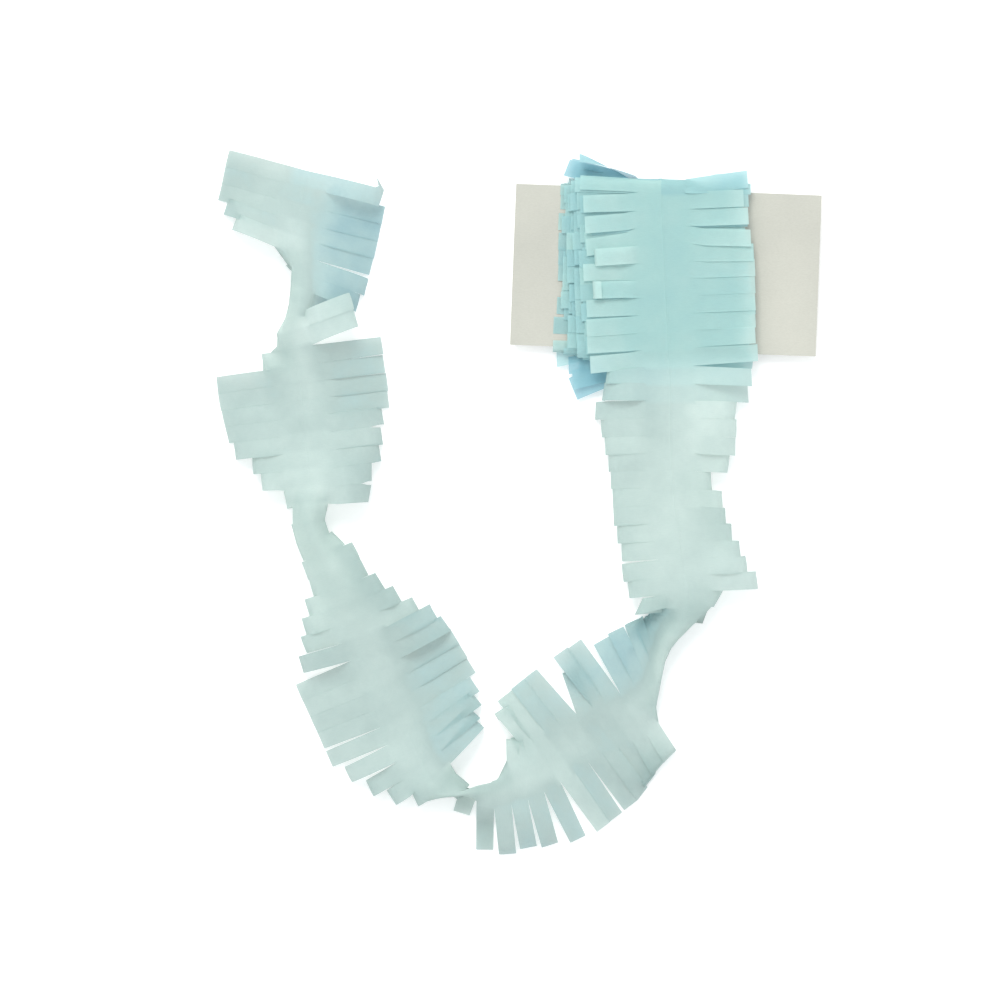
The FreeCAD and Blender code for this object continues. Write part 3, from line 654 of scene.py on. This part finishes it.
def wound_grid(k, s):
    """Row k of the winding, counted from the free run, side s: 0 left, 1 right."""
    rng = np.random.default_rng(5000 + 2 * k + s)
    S0 = PITCH * k
    S = S0 + PITCH * (1 - QS)  # across the finger, towards the free run
    Sm = S0 + PITCH / 2
    b = skew(Sm)
    xc = crease_x(S)
    sgn = -1.0 if s == 0 else 1.0
    t = TS[:, None]
    kf = smooth(TS, BAND, BAND + 12)[:, None]
    tune = WTUNE.get((k, s), {})
    loose = 0.0 if k < 11 else 1.0
    turn_no = int(np.searchsorted(turn_start[::2], S0 + 1.0, side="right")) - 1
    extra = loose * ((-3.2 if turn_no % 2 == 0 else 0.6) if s == 0 else rng.uniform(1.0, 4.2))
    b = b + math.radians(tune.get("fan", rng.uniform(-0.5, 0.5) + loose * rng.uniform(-2.2, 2.2))) * kf * sgn
    length = 1 + (tune.get("longer", rng.uniform(-1.2, 0.5) + extra + loose * rng.choice([0, -2, -5, -9], p=[0.62, 0.2, 0.1, 0.08])) / HALF) * kf
    x = xc[None, :] + sgn * t * length * np.cos(b)
    if "curl" in tune:
        at, rad, high, way = tune["curl"]
        phi = np.clip((TS - at) / rad, 0, math.pi)
        t_flat = np.minimum(TS, at) + rad * np.sin(phi) - np.maximum(TS - at - math.pi * rad, 0)
    else:
        t_flat = TS
    Sx = S[None, :] - sgn * t_flat[:, None] * np.sin(b) * 1.0
    squeeze = 1 - rng.uniform(0.004, 0.02) * kf
    Sx = Sx + (1 - squeeze) * (Sm - S)[None, :]
    v, w, nv, nw = wound(Sx)
    # a little spring outwards, more in the outer turns
    depth = k * PITCH / 230.0
    out = rng.uniform(-0.12, 0.22)
    out = np.interp(depth, [0, 1, 2], [1, 0.8, 0.6]) * out
    roll = tune.get("roll", math.radians(rng.uniform(-1.0, 3.0) + loose * rng.uniform(-3, 3)))
    lift = out * kf + (tune.get("lift", 0.0)) * smooth(TS, BAND + 4, HALF)[:, None] ** 1.3
    lift = lift + math.sin(roll) * (QS - 0.5)[None, :] * PITCH * kf
    if "curl" in tune:  # (where, radius, height, 1 over or -1 under): the end is turned back
        tt = t_flat
        up = high * smooth(TS, BAND, min(at, BAND + 12)) + way * rad * (1 - np.cos(phi))
        x = x + (sgn * (tt - TS) * length[:, 0] * np.cos(b[:, 0]))[:, None]
        lift = lift + up[:, None]
    if "wave" in tune:
        lift = lift + tune["wave"] * np.sin(np.pi * np.clip((TS - BAND) / 37, 0, 1))[:, None]
    v = v + nv * lift
    w = w + nw * lift
    if "flare" in tune:  # a finger at a bend that stands away from it: (dv, dw) at its end
        f = smooth(TS, tune.get("from", 12.0), HALF + 14)[:, None] / smooth(HALF, tune.get("from", 12.0), HALF + 14)
        v = v + tune["flare"][0] * f
        w = w + tune["flare"][1] * f
    return from_card(x, v, w)


for k in range(N_WOUND):
    for s in range(2):
        W[k, s] = wound_grid(k, s)

# all rows in the order of the strip: the inner end of the winding first
ROWS = np.concatenate([W[::-1], FREE], 0)
N_ROWS = len(ROWS)
FIRST_FREE = N_WOUND


def bend_row(turn, top):
    """The row that sits on the given turn's bend, at the top or at the bottom edge of the card."""
    end = turn_start[2 * turn + (1 if top else 2)]
    return FIRST_FREE - 1 - int((end - 10.0) / PITCH)


def bend_finger(row, s, tip, way, across, pull=(18.0, 14.0), broad=1.0, lead=None, turned=1.0):
    """Lay one finger from its root to a tip: way is the direction it runs at its end, across the
    direction from its lower-numbered edge to the other."""
    g = ROWS[row, s]
    root = g[NB - 1].mean(0)
    out = unit(g[NB + 1].mean(0) - g[NB - 2].mean(0)) if lead is None else unit(lead)
    w0 = unit(g[NB - 1, NQ] - g[NB - 1, 0])
    tip, way, w1 = np.array(tip, float), unit(way), unit(across)
    h = ((TS[NB:] - BAND) / (HALF - BAND))[:, None]
    h00, h10 = 2 * h**3 - 3 * h**2 + 1, h**3 - 2 * h**2 + h
    h01, h11 = -2 * h**3 + 3 * h**2, h**3 - h**2
    mid = h00 * root + h10 * 1.5 * pull[0] * out + h01 * tip + h11 * 1.5 * pull[1] * way
    e = smooth(h, 0, turned) if turned < 1 else h
    w = unit(w0 * (1 - e) + w1 * e)
    wide = PITCH * (1 + (broad - 1) * e)
    ROWS[row, s, NB:] = mid[:, None, :] + w[:, None, :] * ((QS - 0.5)[None, :] * wide)[:, :, None]


# the fingers on the bends that stand away from the winding
bend_finger(FIRST_FREE - 12, 0, (36.4, 208.3, 13.0), (-1, 0.06, 0), (0.0, -0.56, 0.80), pull=(15, 12), lead=(-0.86, 0.50, 0.08))
bend_finger(FIRST_FREE - 13, 0, (38.7, 203.3, 3.5), (-1, 0.10, 0), (0.0, -0.30, 0.9), pull=(15, 12), lead=(-0.9, 0.40, -0.1))
bend_finger(bend_row(1, True), 0, (28.7, 202.9, 7.0), (-0.97, 0.2, 0), (-0.36, -0.93, 0.05), pull=(14, 12), turned=0.5)
bend_finger(bend_row(2, True), 0, (31.1, 203.6, 4.5), (-0.98, 0.15, 0), (-0.20, -0.97, 0.05), pull=(14, 12), turned=0.5)
bend_finger(FIRST_FREE - 11, 1, (138.3, 195.3, 14.9), (0.99, 0.12, -0.02), (0.06, -1, 0.02), pull=(14, 12), turned=0.6)
bend_finger(FIRST_FREE - 12, 1, (136.9, 194.1, 13.4), (0.99, 0.10, -0.02), (0.05, -1, 0.05), pull=(14, 12), turned=0.75)
bend_finger(bend_row(1, False), 0, (32.6, 68.3, 4.0), (-0.90, -0.42, -0.05), (0.38, -0.92, -0.05), pull=(12, 14), broad=1.36, turned=0.3, lead=(-0.88, -0.45, 0))
bend_finger(bend_row(0, False), 0, (32.6, 73.6, 6.5), (-0.95, -0.28, -0.1), (0.15, -0.97, 0.10), pull=(12, 14), broad=1.1, turned=0.3, lead=(-0.92, -0.38, 0))
bend_finger(bend_row(4, False), 0, (36.3, 83.1, 6.0), (-1, -0.04, 0), (0.03, -1, 0), pull=(12, 12), turned=0.4)
bend_finger(bend_row(6, False), 0, (29.9, 82.5, 5.0), (-1, -0.04, 0), (0.03, -1, 0), pull=(12, 12), turned=0.4)
bend_finger(bend_row(8, False), 0, (22.6, 87.0, 4.0), (-1, -0.02, 0), (0.02, -1, 0), pull=(12, 12), turned=0.4)
# painted shade: the fingers inside the loops at the card's bends get the deepest colour, as they lie in shadow there
for turn, top in ((1, True), (2, True)):
    WOUND_LAYERS_AND_SHADE[(FIRST_FREE - 1 - bend_row(turn, top), 0)] = (1.5, 1.4, 30.0)
for turn in (0, 1):
    WOUND_LAYERS_AND_SHADE[(FIRST_FREE - 1 - bend_row(turn, False), 0)] = (1.5, 1.5, 30.0)
for turn in (4, 6):
    WOUND_LAYERS_AND_SHADE[(FIRST_FREE - 1 - bend_row(turn, False), 0)] = (1.5, 1.5, 30.0)

# the crease and the band are shared between their neighbours
ROWS[:, :, 0] = ROWS[:, :, 0].mean(1, keepdims=True)
part = np.full((N_ROWS - 1, 2), 0.5)  # how much the earlier row counts at each joint
for i in range(N_FREE - 1):
    for s in range(2):
        if ((i, s) in UNDER) != ((i + 1, s) in UNDER):
            part[FIRST_FREE + i, s] = 0.15 if (i, s) in UNDER else 0.85
part = part[:, :, None, None]
joint = ROWS[:-1, :, :NB, NQ] * part + ROWS[1:, :, :NB, 0] * (1 - part)
da = np.zeros((N_ROWS, 2, 3))  # how far each finger's root was moved, at its two edges
db = np.zeros((N_ROWS, 2, 3))
db[:-1] = joint[:, :, -1] - ROWS[:-1, :, NB - 1, NQ]
da[1:] = joint[:, :, -1] - ROWS[1:, :, NB - 1, 0]
near = np.exp(-(TS[NB:] - BAND) / 5.0)
even = (HALF - TS[NB:]) / (HALF - BAND)
shut = np.exp(-(TS[NB:] - BAND) / 0.8)
fade = np.zeros((N_ROWS + 1, 2, NT - NB))  # at each slit, on each side
fade[:] = near
for i in range(N_FREE + 1):
    for s in range(2):
        fade[FIRST_FREE + i, s] = shut if (SLIT.get((i - 1, s), 0.0) == 0.0 or (i - 1, s) in SHORT) and 0 < i < N_FREE else even
q = QS[None, None, None, :, None]
ROWS[:, :, NB:] += da[:, :, None, None, :] * (1 - q) * fade[:-1, :, :, None, None]
ROWS[:, :, NB:] += db[:, :, None, None, :] * q * fade[1:, :, :, None, None]
# inside the band, the points between the two shared edges follow them
da = np.zeros((N_ROWS, 2, NB, 3))
db = np.zeros((N_ROWS, 2, NB, 3))
db[:-1] = joint - ROWS[:-1, :, :NB, NQ]
da[1:] = joint - ROWS[1:, :, :NB, 0]
ROWS[:, :, :NB] += da[:, :, :, None, :] * (1 - q) + db[:, :, :, None, :] * q
mid = ROWS[:, :, 0].mean(1, keepdims=True)
ROWS[:, :, 0] = mid

# the last finger's upper edge stands up in a little point
spike = np.array([-87.2, 197.6, 5.5])
g = ROWS[-1, 0, :, NQ]
j = NT - 2
g[j] = spike
g[j - 1] = g[j - 1] * 0.8 + spike * 0.2
ROWS[-1, 0, j, NQ - 1] = ROWS[-1, 0, j, NQ - 1] * 0.8 + spike * 0.2

# ------------------------------------------------------------------ the strip's mesh
u_row = (np.arange(N_ROWS)[:, None] + QS[None, :]) * PITCH  # along the strip
sgn = np.array([-1.0, 1.0])
mat_u = np.broadcast_to(u_row[:, None, None, :], ROWS.shape[:4])
mat_t = np.broadcast_to((sgn[:, None] * TS[None, :])[None, :, :, None], ROWS.shape[:4])
row_no = np.broadcast_to(np.arange(N_ROWS)[:, None, None, None], ROWS.shape[:4])

flat = ROWS.reshape(-1, 3)
key = np.round(flat * 1e4).astype(np.int64)
_, first_at, inverse = np.unique(key, axis=0, return_index=True, return_inverse=True)
inverse = inverse.reshape(-1)
verts = flat[first_at]
vu = mat_u.reshape(-1)[first_at]
vt = mat_t.reshape(-1)[first_at]
vr = row_no.reshape(-1)[first_at]
idx = inverse.reshape(ROWS.shape[:4])
a = idx[:, :, :-1, :-1]
b = idx[:, :, 1:, :-1]
c = idx[:, :, 1:, 1:]
d = idx[:, :, :-1, 1:]
quads = np.stack([a, b, c, d], -1)
quads[:, 0] = quads[:, 0][..., ::-1]  # both sides face the same way
quads = quads.reshape(-1, 4)


def vertex_normals(v, f):
    n = np.cross(v[f[:, 2]] - v[f[:, 0]], v[f[:, 3]] - v[f[:, 1]])
    out = np.zeros_like(v)
    for i in range(4):
        np.add.at(out, f[:, i], n)
    return unit(out)


def fbm(p, octaves=2):
    return np.array([noise.fractal(Vector(x), 1.0, 2.0, octaves) for x in p])


nrm = vertex_normals(verts, quads)
# which way the winding's faces look: outwards is away from the card's middle
_f = (vr >= FIRST_FREE - 6) & (vr < FIRST_FREE)
FACE = 1.0 if nrm[_f, 2].mean() > 0 else -1.0
loose = vr >= FIRST_FREE
amp = np.where(loose, 0.55, 0.16)
# long soft swells that run across the strip, and finger by finger ones
wide = fbm(np.stack([vu / 26.0, vt / 34.0, vu * 0 + 3.1], 1))
fine = fbm(np.stack([vu / 9.0, vt / 15.0, vu * 0 + 8.7], 1))
near_end = smooth(np.abs(vt), BAND, HALF)
move = amp * (0.9 * wide + 0.35 * fine * (0.5 + near_end))
up = np.where(nrm[:, 2:] < 0, -1.0, 1.0)
ridge = np.where(vr >= FIRST_FREE, np.interp(vr - FIRST_FREE, *zip(*CREASED)), 1.0) * 0.55 * np.exp(-np.abs(vt) / 1.5)
outward = np.where(vr[:, None] >= FIRST_FREE, nrm * up, nrm * FACE)
verts = verts + nrm * move[:, None] + outward * ridge[:, None]
verts[:, 2] = np.maximum(verts[:, 2], 0.25)
# the innermost turn lies against the card and doesn't go through it
_c, _s = math.cos(CARD["turn"]), math.sin(CARD["turn"])
dx, dy, dz = verts[:, 0] - CARD["x"], verts[:, 1] - CARD["y"], verts[:, 2] - CARD["z"]
over_card = (vr < FIRST_FREE) & (np.abs(_c * dx + _s * dy) < 93.2) & (np.abs(_c * dy - _s * dx) < 49.2)
behind = outward[:, 2] < 0
through = over_card & (np.abs(dz) < 1.0) & np.where(behind, dz > -0.37, dz < 0.37)
verts[through, 2] = CARD["z"] + np.where(behind[through], -0.37, 0.37)

me = bpy.data.meshes.new("tissue_fringe")
me.vertices.add(len(verts))
me.vertices.foreach_set("co", (verts / 1000.0).ravel())
me.loops.add(len(quads) * 4)
me.loops.foreach_set("vertex_index", quads.ravel())
me.polygons.add(len(quads))
me.polygons.foreach_set("loop_start", np.arange(0, len(quads) * 4, 4))
me.polygons.foreach_set("loop_total", np.full(len(quads), 4))
me.update(calc_edges=True)
me.polygons.foreach_set("use_smooth", np.ones(len(quads), bool))
# the crease is a sharp fold
on_crease = np.abs(vt) < 1e-6
ed = np.zeros(len(me.edges) * 2, np.int64)
me.edges.foreach_get("vertices", ed)
ed = ed.reshape(-1, 2)
hard = on_crease & ((vr < FIRST_FREE) | (np.interp(vr - FIRST_FREE, *zip(*CREASED)) > 0.5))
sharp = hard[ed[:, 0]] & hard[ed[:, 1]]
att = me.attributes.new("sharp_edge", "BOOLEAN", "EDGE")
att.data.foreach_set("value", sharp)
# how deep in the winding a point is: 0 on the free run, 1 on the turns
depth = smooth(FIRST_FREE - 0.0 - (vr - 0.0), -2.5, 2.5)
side_of = np.broadcast_to(np.arange(2)[None, :, None, None], ROWS.shape[:4]).reshape(-1)[first_at]
for (k, s), amount in PALE.items():
    at = (vr == FIRST_FREE - 1 - k) & (side_of == s)
    depth = np.where(at, depth * (1 - amount * smooth(np.abs(vt), BAND - 2, BAND + 8)), depth)
att = me.attributes.new("wound", "FLOAT", "POINT")
att.data.foreach_set("value", depth.astype(np.float32))
# how deep the colour is: pale where one layer lies over the white, deeper where layers meet;
# it also holds painted shade, deeper where the sheet lies in shadow or is turned from the light, and painted light,
# paler where it faces it
row_layers_and_shade = np.interp(np.arange(N_FREE), *zip(*LAYERS_AND_SHADE_ALONG))
layers_and_shade = np.zeros((N_ROWS, 2, NT, NQ + 1))
layers_and_shade[FIRST_FREE:] = row_layers_and_shade[:, None, None, None]
for i in range(FIRST_FREE):
    n = FIRST_FREE - 1 - i
    if n > 10:
        rng = np.random.default_rng(9000 + i)
        for s in range(2):
            layers_and_shade[i, s] = rng.uniform(0.3, 0.8) + 0.35 * smooth(TS, 30, HALF)[:, None] * rng.uniform(-1, 1)
for (n, s), (at_root, at_end, where) in WOUND_LAYERS_AND_SHADE.items():
    k = smooth(TS, where - 5.0, where + 5.0)[:, None]
    layers_and_shade[FIRST_FREE - 1 - n, s] = at_root * (1 - k) + at_end * k
for first, last, s, at_root, at_end in LAYERS_AND_SHADE_FIELDS:
    k = smooth(TS, 7.0, 30.0)[:, None]
    w = smooth(TS, 3.0, 15.0)[:, None]
    for i in range(first, last + 1):
        own = 0.09 * np.random.default_rng(7000 + 2 * i + s).uniform(-1, 1)
        d = at_root * (1 - k) + at_end * k + own
        layers_and_shade[FIRST_FREE + i, s] = row_layers_and_shade[i] * (1 - w) + d * w
vd = layers_and_shade.reshape(-1)[first_at]
att = me.attributes.new("layers_and_shade", "FLOAT", "POINT")
att.data.foreach_set("value", vd.astype(np.float32))
# the strip's own flat coordinates, in metres
uv = me.uv_layers.new(name="strip")
fu, ft = vu[quads.ravel()], vt[quads.ravel()]
uv.data.foreach_set("uv", np.stack([ft / 1000.0, fu / 1000.0], 1).ravel().astype(np.float32))
me.validate()
tissue = bpy.data.objects.new("tissue_fringe", me)
bpy.context.collection.objects.link(tissue)

# ------------------------------------------------------------------ materials
def new_material(name):
    m = bpy.data.materials.new(name)
    m.use_nodes = True
    m.node_tree.nodes.clear()
    return m, m.node_tree.nodes, m.node_tree.links


def node(nodes, kind, **values):
    n = nodes.new(kind)
    for k, v in values.items():
        if hasattr(n, k):
            setattr(n, k, v)
        else:
            n.inputs[k.replace("_", " ").title()].default_value = v
    return n


def ramp(nodes, stops):
    n = nodes.new("ShaderNodeValToRGB")
    els = n.color_ramp.elements
    while len(els) < len(stops):
        els.new(0.5)
    for e, (pos, col) in zip(els, stops):
        e.position = pos
        e.color = (*col, 1)
    return n


def tissue_material():
    """Thin dyed tissue: it scatters light back and lets a good part through, so it is pale
    in one layer and deeper where layers lie together. The depth attribute it reads also carries painted shade and
    painted light."""
    m, N, L = new_material("tissue")
    out = N.new("ShaderNodeOutputMaterial")
    mix = N.new("ShaderNodeMixShader")
    mix.inputs[0].default_value = 0.5
    front = N.new("ShaderNodeBsdfPrincipled")
    front.inputs["Roughness"].default_value = 0.62
    front.inputs["Specular IOR Level"].default_value = 0.22
    back = N.new("ShaderNodeBsdfTranslucent")
    L.new(front.outputs[0], mix.inputs[1])
    L.new(back.outputs[0], mix.inputs[2])
    L.new(mix.outputs[0], out.inputs[0])

    tc = N.new("ShaderNodeTexCoord")
    # colour: the free run is paler and greener than the wound turns, deeper where layers meet and where shade is
    # painted, paler where light is painted
    wound_at = N.new("ShaderNodeAttribute")
    wound_at.attribute_name = "wound"
    layers_and_shade_at = N.new("ShaderNodeAttribute")
    layers_and_shade_at.attribute_name = "layers_and_shade"
    cloud = node(N, "ShaderNodeTexNoise")
    cloud.inputs["Scale"].default_value = 34.0
    cloud.inputs["Detail"].default_value = 5.0
    cloud.inputs["Roughness"].default_value = 0.6
    L.new(tc.outputs["Object"], cloud.inputs["Vector"])
    spread = node(N, "ShaderNodeMapRange")
    spread.inputs["From Min"].default_value = 0.3
    spread.inputs["From Max"].default_value = 0.7
    spread.inputs["To Min"].default_value = 0.24
    spread.inputs["To Max"].default_value = -0.24
    L.new(cloud.outputs["Fac"], spread.inputs["Value"])
    total = N.new("ShaderNodeMath")
    total.operation = "ADD"
    L.new(layers_and_shade_at.outputs["Fac"], total.inputs[0])
    L.new(spread.outputs["Result"], total.inputs[1])
    place = node(N, "ShaderNodeMapRange")
    place.inputs["From Min"].default_value = -0.5
    place.inputs["From Max"].default_value = 1.5
    L.new(total.outputs[0], place.inputs["Value"])

    def coloured(free_stops, roll_stops):
        free_c, roll_c = ramp(N, free_stops), ramp(N, roll_stops)
        L.new(place.outputs["Result"], free_c.inputs[0])
        L.new(place.outputs["Result"], roll_c.inputs[0])
        tint = N.new("ShaderNodeMix")
        tint.data_type = "RGBA"
        L.new(wound_at.outputs["Fac"], tint.inputs["Factor"])
        L.new(free_c.outputs[0], tint.inputs["A"])
        L.new(roll_c.outputs[0], tint.inputs["B"])
        return tint

    thrown = coloured(
        [(0.0, (0.680, 0.850, 0.822)), (0.25, (0.560, 0.738, 0.718)), (0.60, (0.432, 0.622, 0.616)), (0.78, (0.425, 0.655, 0.675)), (1.0, (0.325, 0.570, 0.635))],
        [(0.0, (0.700, 0.945, 0.915)), (0.25, (0.580, 0.900, 0.877)), (0.75, (0.455, 0.790, 0.822)), (1.0, (0.330, 0.660, 0.745))],
    )
    let_through = coloured(
        [(0.0, (0.82, 0.83, 0.79)), (0.25, (0.715, 0.727, 0.693)), (0.60, (0.608, 0.600, 0.568)), (0.78, (0.594, 0.625, 0.605)), (1.0, (0.495, 0.540, 0.535))],
        [(0.0, (0.78, 0.84, 0.82)), (0.25, (0.720, 0.748, 0.738)), (0.75, (0.600, 0.680, 0.705)), (1.0, (0.49, 0.60, 0.665))],
    )
    # fibres: short pale and dark streaks in the sheet
    fibre_map = N.new("ShaderNodeMapping")
    fibre_map.inputs["Scale"].default_value = (260.0, 1900.0, 700.0)
    fibre = N.new("ShaderNodeTexNoise")
    fibre.inputs["Scale"].default_value = 1.0
    fibre.inputs["Detail"].default_value = 3.0
    fibre.inputs["Roughness"].default_value = 0.65
    uvn = N.new("ShaderNodeUVMap")
    uvn.uv_map = "strip"
    L.new(uvn.outputs[0], fibre_map.inputs["Vector"])
    L.new(fibre_map.outputs[0], fibre.inputs["Vector"])
    fib_c = ramp(N, [(0.30, (0.955, 0.965, 0.968)), (0.68, (1.0, 1.0, 1.0))])
    L.new(fibre.outputs["Fac"], fib_c.inputs[0])
    for tint, socket in ((thrown, front.inputs["Base Color"]), (let_through, back.inputs["Color"])):
        shade = N.new("ShaderNodeMix")
        shade.data_type = "RGBA"
        shade.blend_type = "MULTIPLY"
        shade.inputs["Factor"].default_value = 1.0
        L.new(tint.outputs["Result"], shade.inputs["A"])
        L.new(fib_c.outputs[0], shade.inputs["B"])
        L.new(shade.outputs["Result"], socket)
    # crumple: soft dents, flat facets and a few hard little creases
    dent = N.new("ShaderNodeTexNoise")
    dent.inputs["Scale"].default_value = 95.0
    dent.inputs["Detail"].default_value = 4.0
    dent.inputs["Roughness"].default_value = 0.55
    L.new(tc.outputs["Object"], dent.inputs["Vector"])
    facet = N.new("ShaderNodeTexVoronoi")
    facet.feature = "DISTANCE_TO_EDGE"
    facet.inputs["Scale"].default_value = 70.0
    warp = N.new("ShaderNodeMix")
    warp.data_type = "VECTOR"
    warp.inputs["Factor"].default_value = 0.10
    L.new(tc.outputs["Object"], warp.inputs["A"])
    L.new(dent.outputs["Color"], warp.inputs["B"])
    L.new(warp.outputs["Result"], facet.inputs["Vector"])
    line = node(N, "ShaderNodeMapRange")
    line.inputs["From Min"].default_value = 0.0
    line.inputs["From Max"].default_value = 0.05
    line.inputs["To Min"].default_value = 0.0
    line.inputs["To Max"].default_value = 1.0
    L.new(facet.outputs["Distance"], line.inputs["Value"])
    b1 = N.new("ShaderNodeBump")
    b1.inputs["Strength"].default_value = 0.10
    b1.inputs["Distance"].default_value = 0.0009
    L.new(dent.outputs["Fac"], b1.inputs["Height"])
    b2 = N.new("ShaderNodeBump")
    b2.inputs["Strength"].default_value = 0.12
    b2.inputs["Distance"].default_value = 0.0004
    L.new(line.outputs["Result"], b2.inputs["Height"])
    L.new(b1.outputs[0], b2.inputs["Normal"])
    b3 = N.new("ShaderNodeBump")
    b3.inputs["Strength"].default_value = 0.08
    b3.inputs["Distance"].default_value = 0.00008
    L.new(fibre.outputs["Fac"], b3.inputs["Height"])
    L.new(b2.outputs[0], b3.inputs["Normal"])
    L.new(b3.outputs[0], front.inputs["Normal"])
    L.new(b3.outputs[0], back.inputs["Normal"])
    return m


def card_material():
    """Uncoated paperboard, warm pale grey."""
    m, N, L = new_material("board")
    out = N.new("ShaderNodeOutputMaterial")
    bsdf = N.new("ShaderNodeBsdfPrincipled")
    bsdf.inputs["Roughness"].default_value = 0.78
    bsdf.inputs["Specular IOR Level"].default_value = 0.25
    L.new(bsdf.outputs[0], out.inputs[0])
    tc = N.new("ShaderNodeTexCoord")
    broad = N.new("ShaderNodeTexNoise")
    broad.inputs["Scale"].default_value = 14.0
    broad.inputs["Detail"].default_value = 3.0
    L.new(tc.outputs["Object"], broad.inputs["Vector"])
    place = N.new("ShaderNodeSeparateXYZ")
    L.new(tc.outputs["Object"], place.inputs[0])
    # painted shade: the board is made darker towards its left end (low X), standing for the fringe's shadow on it; the
    # noise is the board's own mottling
    left_end_shade = node(N, "ShaderNodeMapRange")
    left_end_shade.inputs["From Min"].default_value = 0.00
    left_end_shade.inputs["From Max"].default_value = 0.16
    left_end_shade.inputs["To Min"].default_value = -0.05
    left_end_shade.inputs["To Max"].default_value = 0.12
    L.new(place.outputs["X"], left_end_shade.inputs["Value"])
    mottle_and_shade = N.new("ShaderNodeMath")
    mottle_and_shade.operation = "ADD"
    L.new(broad.outputs["Fac"], mottle_and_shade.inputs[0])
    L.new(left_end_shade.outputs["Result"], mottle_and_shade.inputs[1])
    base = ramp(N, [(0.15, (0.485, 0.490, 0.445)), (0.85, (0.600, 0.600, 0.538))])
    L.new(mottle_and_shade.outputs[0], base.inputs[0])
    fmap = N.new("ShaderNodeMapping")
    fmap.inputs["Scale"].default_value = (600.0, 2400.0, 2000.0)
    L.new(tc.outputs["Object"], fmap.inputs["Vector"])
    fibre = N.new("ShaderNodeTexNoise")
    fibre.inputs["Scale"].default_value = 1.0
    fibre.inputs["Detail"].default_value = 4.0
    L.new(fmap.outputs[0], fibre.inputs["Vector"])
    fc = ramp(N, [(0.30, (0.93, 0.93, 0.925)), (0.66, (1.0, 1.0, 1.0))])
    L.new(fibre.outputs["Fac"], fc.inputs[0])
    mul = N.new("ShaderNodeMix")
    mul.data_type = "RGBA"
    mul.blend_type = "MULTIPLY"
    mul.inputs["Factor"].default_value = 1.0
    L.new(base.outputs[0], mul.inputs["A"])
    L.new(fc.outputs[0], mul.inputs["B"])
    L.new(mul.outputs["Result"], bsdf.inputs["Base Color"])
    b = N.new("ShaderNodeBump")
    b.inputs["Strength"].default_value = 0.12
    b.inputs["Distance"].default_value = 0.0002
    L.new(fibre.outputs["Fac"], b.inputs["Height"])
    L.new(b.outputs[0], bsdf.inputs["Normal"])
    return m


tissue.data.materials.append(tissue_material())
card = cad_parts["winding_card"]
board = card_material()
if card.material_slots:
    for slot in card.material_slots:
        slot.material = board
else:
    card.data.materials.append(board)

# ------------------------------------------------------------------ stage, light, camera
floor_me = bpy.data.meshes.new("floor")
floor_me.from_pydata(
    [(-7, -7, 0), (7, -7, 0), (7, 7, 0), (-7, 7, 0)], [], [(0, 1, 2, 3)]
)
floor = bpy.data.objects.new("floor", floor_me)
bpy.context.collection.objects.link(floor)
fm, fn, fl = new_material("floor")
f_out = fn.new("ShaderNodeOutputMaterial")
f_b = fn.new("ShaderNodeBsdfDiffuse")
f_b.inputs["Color"].default_value = (0.955, 0.955, 0.955, 1)
f_e = fn.new("ShaderNodeEmission")
f_e.inputs["Color"].default_value = (1.0, 1.0, 1.0, 1)
f_e.inputs["Strength"].default_value = 0.22
f_add = fn.new("ShaderNodeAddShader")
fl.new(f_b.outputs[0], f_add.inputs[0])
fl.new(f_e.outputs[0], f_add.inputs[1])
fl.new(f_add.outputs[0], f_out.inputs[0])
floor.data.materials.append(fm)

world = bpy.data.worlds.new("world")
bpy.context.scene.world = world
world.use_nodes = True
world.node_tree.nodes["Background"].inputs[0].default_value = (0.955, 0.985, 1.0, 1)
world.node_tree.nodes["Background"].inputs[1].default_value = 0.95


def area_light(name, where, at, size, power, colour=(1, 1, 1)):
    light = bpy.data.lights.new(name, "AREA")
    light.shape = "DISK"
    light.size = size
    light.energy = power
    light.color = colour
    o = bpy.data.objects.new(name, light)
    bpy.context.collection.objects.link(o)
    o.location = where
    o.rotation_mode = "QUATERNION"
    o.rotation_quaternion = (Vector(at) - Vector(where)).to_track_quat("-Z", "Y")
    return o


area_light("key", (-0.55, 2.0, 2.4), (0.0, 0.0, 0.0), 1.75, 53.0, (1.0, 0.965, 0.91))

cam_data = bpy.data.cameras.new("camera")
cam_data.lens = 150.0
cam_data.sensor_width = 36.0
cam_data.clip_start, cam_data.clip_end = 0.05, 60.0
cam = bpy.data.objects.new("camera", cam_data)
bpy.context.collection.objects.link(cam)
cam.location = (-0.0119, 0.0007, 0.61 * 150.0 / 36.0)
bpy.context.scene.camera = cam
bpy.context.scene.view_settings.view_transform = "Standard"

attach(tissue, "root")
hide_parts("fringe_garland")
